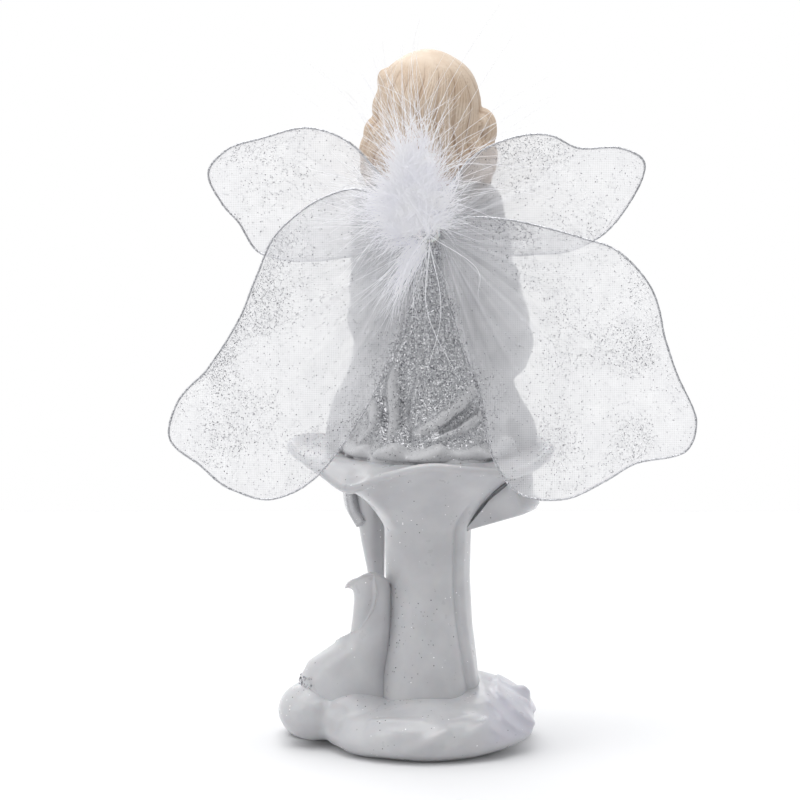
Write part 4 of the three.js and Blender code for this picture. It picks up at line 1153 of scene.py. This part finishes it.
# ---------- wings ----------
# Outlines from the root round the tip and back to it, as shares of the span outwards and of the rise up.
OUTLINES = {
    "upper_left": [
        (0, 0.03), (0.09, 0.32), (0.2, 0.58), (0.34, 0.88), (0.52, 1), (0.73, 0.9), (0.91, 0.77), (0.99, 0.55),
        (0.93, 0.25), (0.84, 0.03), (0.76, -0.25), (0.63, -0.33), (0.42, -0.33), (0.19, -0.23), (0, -0.03)],
    "upper_right": [
        (0, 0.03), (0.03, 0.33), (0.14, 0.68), (0.25, 0.83), (0.4, 0.93), (0.53, 0.92), (0.66, 0.79), (0.86, 0.79),
        (0.97, 0.66), (0.95, 0.42), (0.79, -0.05), (0.63, -0.23), (0.38, -0.28), (0.17, -0.2), (0, -0.03)],
    "lower_left": [
        (0, 0.012), (0.1, 0.12), (0.24, 0.18), (0.38, 0.14), (0.56, 0), (0.63, -0.15), (0.71, -0.33), (0.82, -0.5),
        (0.95, -0.64), (0.98, -0.77), (0.86, -0.88), (0.74, -0.97), (0.6, -1.01), (0.43, -0.94), (0.27, -0.75),
        (0.13, -0.5), (0.03, -0.24), (0, -0.012)],
    "lower_right": [
        (0, 0.012), (0.11, 0.065), (0.28, 0.06), (0.5, 0.01), (0.7, -0.06), (0.83, -0.2), (0.89, -0.4), (0.94, -0.54),
        (1.01, -0.71), (0.97, -0.82), (0.78, -0.87), (0.66, -0.94), (0.5, -1.01), (0.33, -0.99), (0.23, -0.87),
        (0.18, -0.65), (0.09, -0.41), (0.02, -0.2), (0, -0.012)],
}
# Each pair's span, rise, backward tilt and sweep in degrees, and how far it sits above the binding's middle.
WINGS = {"upper": (59, 27.5, 5, -4, 0.8), "lower": (71, 72, 10, 6, -0.8)}
WIRE_RADIUS = 0.3


def wing_frame(name):
    """Takes points in a wing's own plane (out, off, up) to the figurine's frame."""
    pair, hand = name.split("_")
    span, rise, tilt, sweep, above = WINGS[pair]
    side = 1 if hand == "left" else -1
    tilt, sweep = math.radians(tilt), math.radians(sweep) * side
    turn_x = np.array([[1, 0, 0], [0, math.cos(tilt), -math.sin(tilt)], [0, math.sin(tilt), math.cos(tilt)]])
    turn_z = np.array([[math.cos(sweep), -math.sin(sweep), 0], [math.sin(sweep), math.cos(sweep), 0], [0, 0, 1]])
    root_y = binding_high[1] - 2 - (4 if pair == "upper" else 0)
    origin = np.array([side * 3.05, root_y, ROOT_Z + above])
    return side, span, rise, lambda p: np.asarray(p) @ (turn_z @ turn_x).T + origin


def flakes(centres, normals, sizes, rng):
    """Tiny flat crystals of foil: a thin six-cornered body for each."""
    count = len(centres)
    lean = rng.normal(0, 0.35, (count, 3))
    normal = normals + lean
    normal /= np.linalg.norm(normal, axis=1, keepdims=True)
    side = np.cross(normal, rng.normal(size=(count, 3)))
    side /= np.linalg.norm(side, axis=1, keepdims=True)
    other = np.cross(normal, side)
    s = sizes[:, None]
    points = np.stack([centres + side * s, centres + other * s, centres - side * s, centres - other * s,
                       centres + normal * s * 0.22, centres - normal * s * 0.22], axis=1)
    pattern = np.array([(0, 1, 4), (1, 2, 4), (2, 3, 4), (3, 0, 4), (1, 0, 5), (2, 1, 5), (3, 2, 5), (0, 3, 5)])
    faces = (np.arange(count)[:, None, None] * 6 + pattern).reshape(-1, 3)
    return points.reshape(-1, 3), faces


def make_wing(name, seed):
    side, span, rise, to_world = wing_frame(name)
    body = name + "_wing"
    rng = np.random.default_rng(seed)
    flat = spline([(side * out * span, 0.0, up * rise) for out, up in OUTLINES[name]], 260)
    wobble = 0.22 * np.stack([noise_a(flat[:, 0] / 7, flat[:, 2] / 7 + k * 9, np.full(len(flat), seed)) for k in (1, 2, 3)], axis=1)
    wobble *= smoothstep(0, 6, np.linalg.norm(flat, axis=1))[:, None]
    wire_path = flat + wobble
    points, faces = tube_mesh(wire_path, WIRE_RADIUS + 0.03 * rng.standard_normal(len(flat)), 10)
    wire = place(add_mesh(body + "_wire", to_world(points), faces, WIRE), body, "silver_wire", body + "_frame")

    # The gauze is a fan of threads from the root, drawn tight to the wire, with shallow ripples.
    rows = 64
    share = np.linspace(0, 1, rows) ** 0.8
    root = flat[[0, -1]].mean(axis=0)
    edge = wire_path
    grid = root + (edge - root)[None] * (0.02 + 0.98 * share[:, None, None])
    along = np.arange(len(edge)) / len(edge)
    heading = np.arctan2(edge[:, 2] - root[2], side * (edge[:, 0] - root[0]))
    ripple = (np.sin(13 * heading + seed) * 0.5 + np.sin(31 * heading + 2 * seed) * 0.28
              + 0.5 * noise_b(along * 18, np.full(len(edge), seed * 3.1), np.zeros(len(edge))))
    belly = np.sin(share * math.pi)[:, None] * (0.45 + 0.35 * share[:, None])
    crease = 0.4 * noise_a(grid[:, :, 0] / 9, grid[:, :, 2] / 9, np.full(grid.shape[:2], seed * 1.7)) * np.sin(share * math.pi)[:, None]
    pleats = np.sin(heading * 24 + 3 * seed) * 0.5 * bump(share - 0.3, 0.3)[:, None] * smoothstep(0, 0.1, share)[:, None]
    grid[:, :, 1] += ripple[None] * belly * 1.1 + crease + pleats
    sheet_points = grid.reshape(-1, 3)
    fibres = noise_b(heading * 30, np.full(len(edge), seed * 1.3), np.zeros(len(edge)))
    gathered = 1 + 0.3 * fibres[None] * smoothstep(0.8, 0.1, share)[:, None] + 0.16 * smoothstep(0.35, 0.0, share)[:, None]
    gauze = add_mesh(body + "_gauze_sheet", to_world(sheet_points), sheet_faces(rows, len(edge)), GAUZE,
                     values={"pleat": gathered.reshape(-1)})
    place(gauze, body, "wing_gauze", body + "_gauze")

    # Glitter, thick in some patches and along the edge, thin elsewhere.
    tries = int(6 * span * (abs(rise) + 10))
    r = np.sqrt(rng.random(tries)) * (rows - 2)
    c = rng.random(tries) * (len(edge) - 2)
    ri, ci = r.astype(int), c.astype(int)
    fr, fc = (r - ri)[:, None], (c - ci)[:, None]
    spots = ((1 - fr) * (1 - fc) * grid[ri, ci] + (1 - fr) * fc * grid[ri, ci + 1]
             + fr * (1 - fc) * grid[ri + 1, ci] + fr * fc * grid[ri + 1, ci + 1])
    patch = noise_b(spots[:, 0] / 11, spots[:, 2] / 11, np.full(tries, seed * 5.3))
    chance = smoothstep(-0.25, 0.55, patch) * 0.8 + 0.16
    weight = np.clip(np.linalg.norm(np.cross(edge[ci + 1] - edge[ci], edge[ci] - root), axis=1) / span, 0, 1)
    spots = spots[(rng.random(tries) < chance) & (rng.random(tries) < 0.25 + weight)]
    spots[:, 1] += rng.choice([-0.12, 0.12], len(spots))
    facing = np.zeros_like(spots)
    facing[:, 1] = 1
    sizes = rng.uniform(0.09, 0.2, len(spots))
    p, f = flakes(spots, facing, sizes, rng)
    glitter = place(add_mesh(body + "_glitter", to_world(p), f, FLAKE, smooth=False), body, "silver_wire")


def make_binding():
    """Silver wire wound round the four wing stems, and a collar of clear glue."""
    core = [(0, y, ROOT_Z) for y in np.linspace(binding_low[1], binding_high[1], 24)]
    parts = [tube_mesh(core, 1.6, 16)]
    turns = 13
    t = np.linspace(0, 1, turns * 24)
    y = binding_low[1] + 0.5 + (binding_high[1] - binding_low[1] - 1.0) * t
    radius = 1.86 + 0.12 * np.sin(7 * t * TAU)
    coil = np.stack([radius * np.cos(turns * TAU * t), y, ROOT_Z + radius * np.sin(turns * TAU * t)], axis=1)
    parts.append(tube_mesh(coil, 0.33, 8))
    points, faces = merge(parts)
    place(add_mesh("wing_binding_coil", points, faces, WIRE), "figurine", "silver_wire", "wing_binding")

    low, high = node_box("wing_collar")
    clay = Clay(low - 1.5, high + 1.5, 0.3)
    middle = (low + high) / 2
    clay.lump(middle, (3.9, 1.9, 3.9), 0)
    clay.lump(middle + (0, 1.2, 0), (2.6, 1.6, 2.6), blend=1.0)
    for a in np.linspace(0, TAU, 7)[:-1]:
        clay.lump(middle + (2.7 * math.cos(a), -0.6, 2.7 * math.sin(a)), (1.3, 1.3, 1.1), blend=0.8)
    points, faces = clay.mesh()
    place(add_mesh("wing_collar_glue", points, faces, GLUE), "figurine", "clear_glue", "wing_collar")


# ---------- feather puff ----------
BARB_STEPS = 9
# Bundles of barbs: first and last corner of the box they start in, the way they point, how widely they
# spread, the shortest and longest, how thick, how much they bend, and how many there are.
BARBS = [
    ((-2, -2, -1), (9, 2, 17), (0.3, 0.0, 1.0), 0.6, (6, 12), 0.055, 0.35, 1500),
    ((-1, -2, 6), (9, 1, 21), (0.15, 0.0, 1.0), 0.4, (7, 14), 0.055, 0.3, 700),
    ((3, -1, 0), (10, 1, 14), (1.0, 0.1, 0.3), 0.4, (8, 15), 0.055, 0.35, 620),
    ((2, -1, -4), (8, 1, 3), (0.9, 0.0, -0.35), 0.35, (6, 13), 0.055, 0.35, 150),
    ((-4, -1, 1), (0, 1, 14), (-1.0, 0.1, 0.35), 0.35, (4, 9), 0.05, 0.35, 300),
    ((-2, -1, 8), (8, 1, 22), (0.14, 0.0, 1.0), 0.15, (18, 36), 0.09, 0.34, 90),
    ((-3, -1, 10), (6, 1, 20), (0.5, 0.0, 0.9), 0.25, (14, 26), 0.08, 0.55, 30),
    ((-4, -1, 6), (0, 1, 18), (-0.7, 0.1, 0.75), 0.25, (12, 24), 0.085, 0.5, 34),
    ((-4, -1, 2), (0, 1, 10), (-1.0, 0.1, 0.05), 0.3, (10, 20), 0.08, 0.4, 12),
    ((2, -1, 0), (8, 1, 12), (1.0, 0.1, 0.1), 0.3, (12, 22), 0.08, 0.4, 36),
    ((0, -1, -6), (5, 1, -1), (0.6, 0.0, -1.0), 0.16, (12, 24), 0.075, 0.16, 120),
    ((-1, -1, -5), (3, 1, -2), (0.1, 0.0, -1.0), 0.25, (8, 16), 0.07, 0.3, 14),
]
# Stray barbs that lie over the back: end point (x, height from the root) and sideways bow.
STRAYS = [((1.2, -42), -4), ((-9.5, -43), 5), ((10.5, -26), 3), ((-14, -18), -6), ((-12, 35), 13), ((13, 38), -8), ((17, 28), -6)]


def barb_mesh(start, direction, length, radius, bend, rng):
    """Thin tapered hairs, each with its own bend."""
    count = len(start)
    t = np.linspace(0, 1, BARB_STEPS)[None, :, None]
    curve = rng.normal(0, bend, (count, 1, 3)) * np.array([1, 0.4, 1]) + np.array([0, 0.05, -0.08])
    wave = rng.normal(0, 0.03, (count, 1, 3)) * np.sin(t * rng.uniform(3, 8, (count, 1, 1)))
    path = start[:, None] + length[:, None, None] * (direction[:, None] * t + curve * t**2 + wave * t)
    return hair_tubes(path, radius)


def hair_tubes(path, radius):
    count, steps = path.shape[:2]
    t = np.linspace(0, 1, steps)[None, :, None]
    tangent = np.gradient(path, axis=1)
    tangent /= np.linalg.norm(tangent, axis=2, keepdims=True) + 1e-9
    side = np.cross(tangent, np.array([0.31, 0.85, 0.42]))
    side /= np.linalg.norm(side, axis=2, keepdims=True) + 1e-9
    other = np.cross(tangent, side)
    angle = np.arange(3) / 3 * TAU
    ring = side[:, :, None] * np.cos(angle)[:, None] + other[:, :, None] * np.sin(angle)[:, None]
    points = path[:, :, None] + ring * (radius * (1.0 - 0.8 * t**2))[..., None]
    one = sheet_faces(steps, 3, wrap=True)
    faces = (np.arange(count)[:, None, None] * steps * 3 + one).reshape(-1, 4)
    return points.reshape(-1, 3), faces


def make_feathers():
    rng = np.random.default_rng(5)
    low, high = node_box("feather_tuft_up")
    root = np.array([0.0, (low[1] + high[1]) / 2 - 1.0, ROOT_Z])
    hairs = []
    for first, last, heading, spread, (shortest, longest), radius, bend, count in BARBS:
        first, last, heading = (np.array(v, dtype=float) for v in (first, last, heading))
        start = root + first + (last - first) * rng.random((count, 3))
        direction = heading / np.linalg.norm(heading) + rng.normal(0, spread, (count, 3)) * np.array([1, 0.6, 1])
        direction /= np.linalg.norm(direction, axis=1, keepdims=True)
        hairs.append(barb_mesh(start, direction, rng.uniform(shortest, longest, count), radius, bend, rng))
    t = np.linspace(0, 1, 24)[:, None]
    for (x, z), bow in STRAYS:
        end = np.array([x, 4.0 if z > 0 else -1.0, z])
        path = root + (0, 2, 0) + end * t + np.array([bow, 2.0, 0]) * np.sin(t * math.pi) ** 1.5
        hairs.append(hair_tubes(path[None], 0.11))
    points, faces = merge(hairs)
    points[:, 1] = np.maximum(points[:, 1], 16.5)
    place(add_mesh("feather_puff_down", points, faces, DOWN), "figurine", "down_feather", "feather_tuft_up", "feather_tuft_down")
    shafts = []
    for end, bow in (((2, 0, 26), (2, 1, 0)), ((9, 0, 20), (2, 1, 2)), ((-9, 0, 17), (-2, 1, 2)), ((8, 0, -17), (2, 1, 0))):
        path = root + np.array(end) * t + np.array(bow) * np.sin(t * math.pi)
        shafts.append(tube_mesh(path, 0.2 * (1.1 - t[:, 0]), 6))
    points, faces = merge(shafts)
    place(add_mesh("feather_puff_shafts", points, faces, DOWN), "figurine", "down_feather")


# ---------- loose glitter ----------
def make_glitter(surface_points, seed, count, size, wanted, name, body="figurine"):
    """Grains of glitter on a surface, where wanted(x, y, z) is true."""
    rng = np.random.default_rng(seed)
    points, normals = surface_points
    chosen = np.flatnonzero(wanted(*points.T))
    pick = rng.choice(chosen, min(count, len(chosen)), replace=False)
    p, f = flakes(points[pick] + normals[pick] * 0.08, normals[pick], rng.uniform(*size, len(pick)), rng)
    return place(add_mesh(name, p, f, FLAKE, smooth=False), body, "silver_wire")


def surface_of(piece):
    mesh = piece.data
    count = len(mesh.vertices)
    points, normals = np.empty(count * 3, dtype=np.float32), np.empty(count * 3, dtype=np.float32)
    mesh.vertices.foreach_get("co", points)
    mesh.vertex_normals.foreach_get("vector", normals)
    return points.reshape(-1, 3).astype(float) / MM, normals.reshape(-1, 3).astype(float)


# ---------- build ----------
cloud_piece = make_cloud()
lily_piece, rim_path = make_lily()
make_under_petal(rim_path)
bud_piece = make_small_lily()
gown_piece = make_gown()
make_hem()
make_drape()
for hand_side in (1, -1):
    make_hand(hand_side)
    make_leg(hand_side)
    make_lock(hand_side)
make_head()
make_hair()
for wing_number, wing_name in enumerate(OUTLINES):
    make_wing(wing_name, wing_number + 3)
make_binding()
make_feathers()
make_glitter(surface_of(bud_piece), 21, 70, (0.25, 0.5),
             lambda x, y, z: (x > 33) & (np.abs(y - 4) < 5) & (z > 13.5) & (z < 20), "foot_glitter")
make_glitter(surface_of(lily_piece), 24, 60, (0.14, 0.26),
             lambda x, y, z: (x > -3) & (x < 12) & (y > 4) & (z > 20) & (z < 46), "stem_glitter")
make_glitter(surface_of(cloud_piece), 25, 60, (0.12, 0.24),
             lambda x, y, z: (x > 2) & (x < 26) & (y > 6) & (y < 20) & (z > 12), "cloud_glitter")
make_glitter(surface_of(gown_piece), 22, 5200, (0.12, 0.26), lambda x, y, z: z > SEAT, "gown_glitter")


# ---------- stage, light and camera ----------
def make_floor():
    mesh = bpy.data.meshes.new("floor")
    half = 0.42
    mesh.from_pydata([(-half, -half, 0), (half, -half, 0), (half, half, 0), (-half, half, 0)], [], [(0, 1, 2, 3)])
    s = Shader("studio_paper", Roughness=0.9)
    s.surface.inputs["Emission Color"].default_value = (1, 1, 1, 1)
    s.surface.inputs["Emission Strength"].default_value = 0.02
    s.set(Base_Color=s.mix(s.ramp(s.noise(400), 0.3, 0.7), srgb(226, 226, 227), srgb(230, 230, 231)))
    mesh.materials.append(s.material)
    floor = bpy.data.objects.new("floor", mesh)
    floor.location = (0, 0, -0.0002)
    bpy.context.scene.collection.objects.link(floor)


def make_world():
    world = bpy.data.worlds.new("studio")
    bpy.context.scene.world = world
    world.use_nodes = True
    tree = world.node_tree
    tree.nodes.clear()
    place_node = tree.nodes.new("ShaderNodeTexCoord")
    split = tree.nodes.new("ShaderNodeSeparateXYZ")
    tree.links.new(place_node.outputs["Generated"], split.inputs[0])
    level = tree.nodes.new("ShaderNodeMapRange")
    tree.links.new(split.outputs[1], level.inputs["Value"])
    for key, value in (("From Min", -1), ("From Max", 1), ("To Min", 1.1), ("To Max", 0.34)):
        level.inputs[key].default_value = value
    rays = tree.nodes.new("ShaderNodeLightPath")
    around = tree.nodes.new("ShaderNodeBackground")
    tree.links.new(level.outputs[0], around.inputs["Strength"])
    seen = tree.nodes.new("ShaderNodeBackground")
    seen.inputs["Strength"].default_value = 1.0
    seen.inputs["Color"].default_value = (1, 1, 1, 1)
    around.inputs["Color"].default_value = (0.98, 0.99, 1.0, 1)
    mixed = tree.nodes.new("ShaderNodeMixShader")
    tree.links.new(rays.outputs["Is Camera Ray"], mixed.inputs[0])
    tree.links.new(around.outputs[0], mixed.inputs[1])
    tree.links.new(seen.outputs[0], mixed.inputs[2])
    out = tree.nodes.new("ShaderNodeOutputWorld")
    tree.links.new(mixed.outputs[0], out.inputs[0])


def add_light(name, spot, target, size, watts):
    data = bpy.data.lights.new(name, "AREA")
    data.size = size
    data.energy = watts
    lamp = bpy.data.objects.new(name, data)
    lamp.location = spot
    lamp.rotation_euler = (Vector(target) - Vector(spot)).to_track_quat("-Z", "Y").to_euler()
    bpy.context.scene.collection.objects.link(lamp)


CAMERA_TARGET = Vector((0.0079, 0.0, 0.0985))
CAMERA_ELEVATION = math.radians(7.5)
CAMERA_DISTANCE = 1.2
CAMERA_LENS = 190.8


def make_camera():
    data = bpy.data.cameras.new("camera")
    data.lens = CAMERA_LENS
    data.sensor_width = 36
    camera = bpy.data.objects.new("camera", data)
    away = Vector((0, math.cos(CAMERA_ELEVATION), math.sin(CAMERA_ELEVATION)))
    camera.location = CAMERA_TARGET + away * CAMERA_DISTANCE
    camera.rotation_euler = away.to_track_quat("Z", "Y").to_euler()
    bpy.context.scene.collection.objects.link(camera)
    bpy.context.scene.camera = camera


make_floor()
make_world()
add_light("top_light", (0.1, 0.1, 1.1), (0, 0, 0.1), 1.2, 9.5)
add_light("left_light", (0.9, 0.5, 0.5), (0, 0, 0.1), 0.7, 2.2)
add_light("right_light", (-0.8, 0.6, 0.6), (0, 0, 0.1), 0.7, 0.6)
add_light("front_light", (0.2, -1.0, 0.8), (0, 0, 0.1), 0.8, 2.5)
make_camera()
bpy.context.scene.view_settings.view_transform = "Standard"
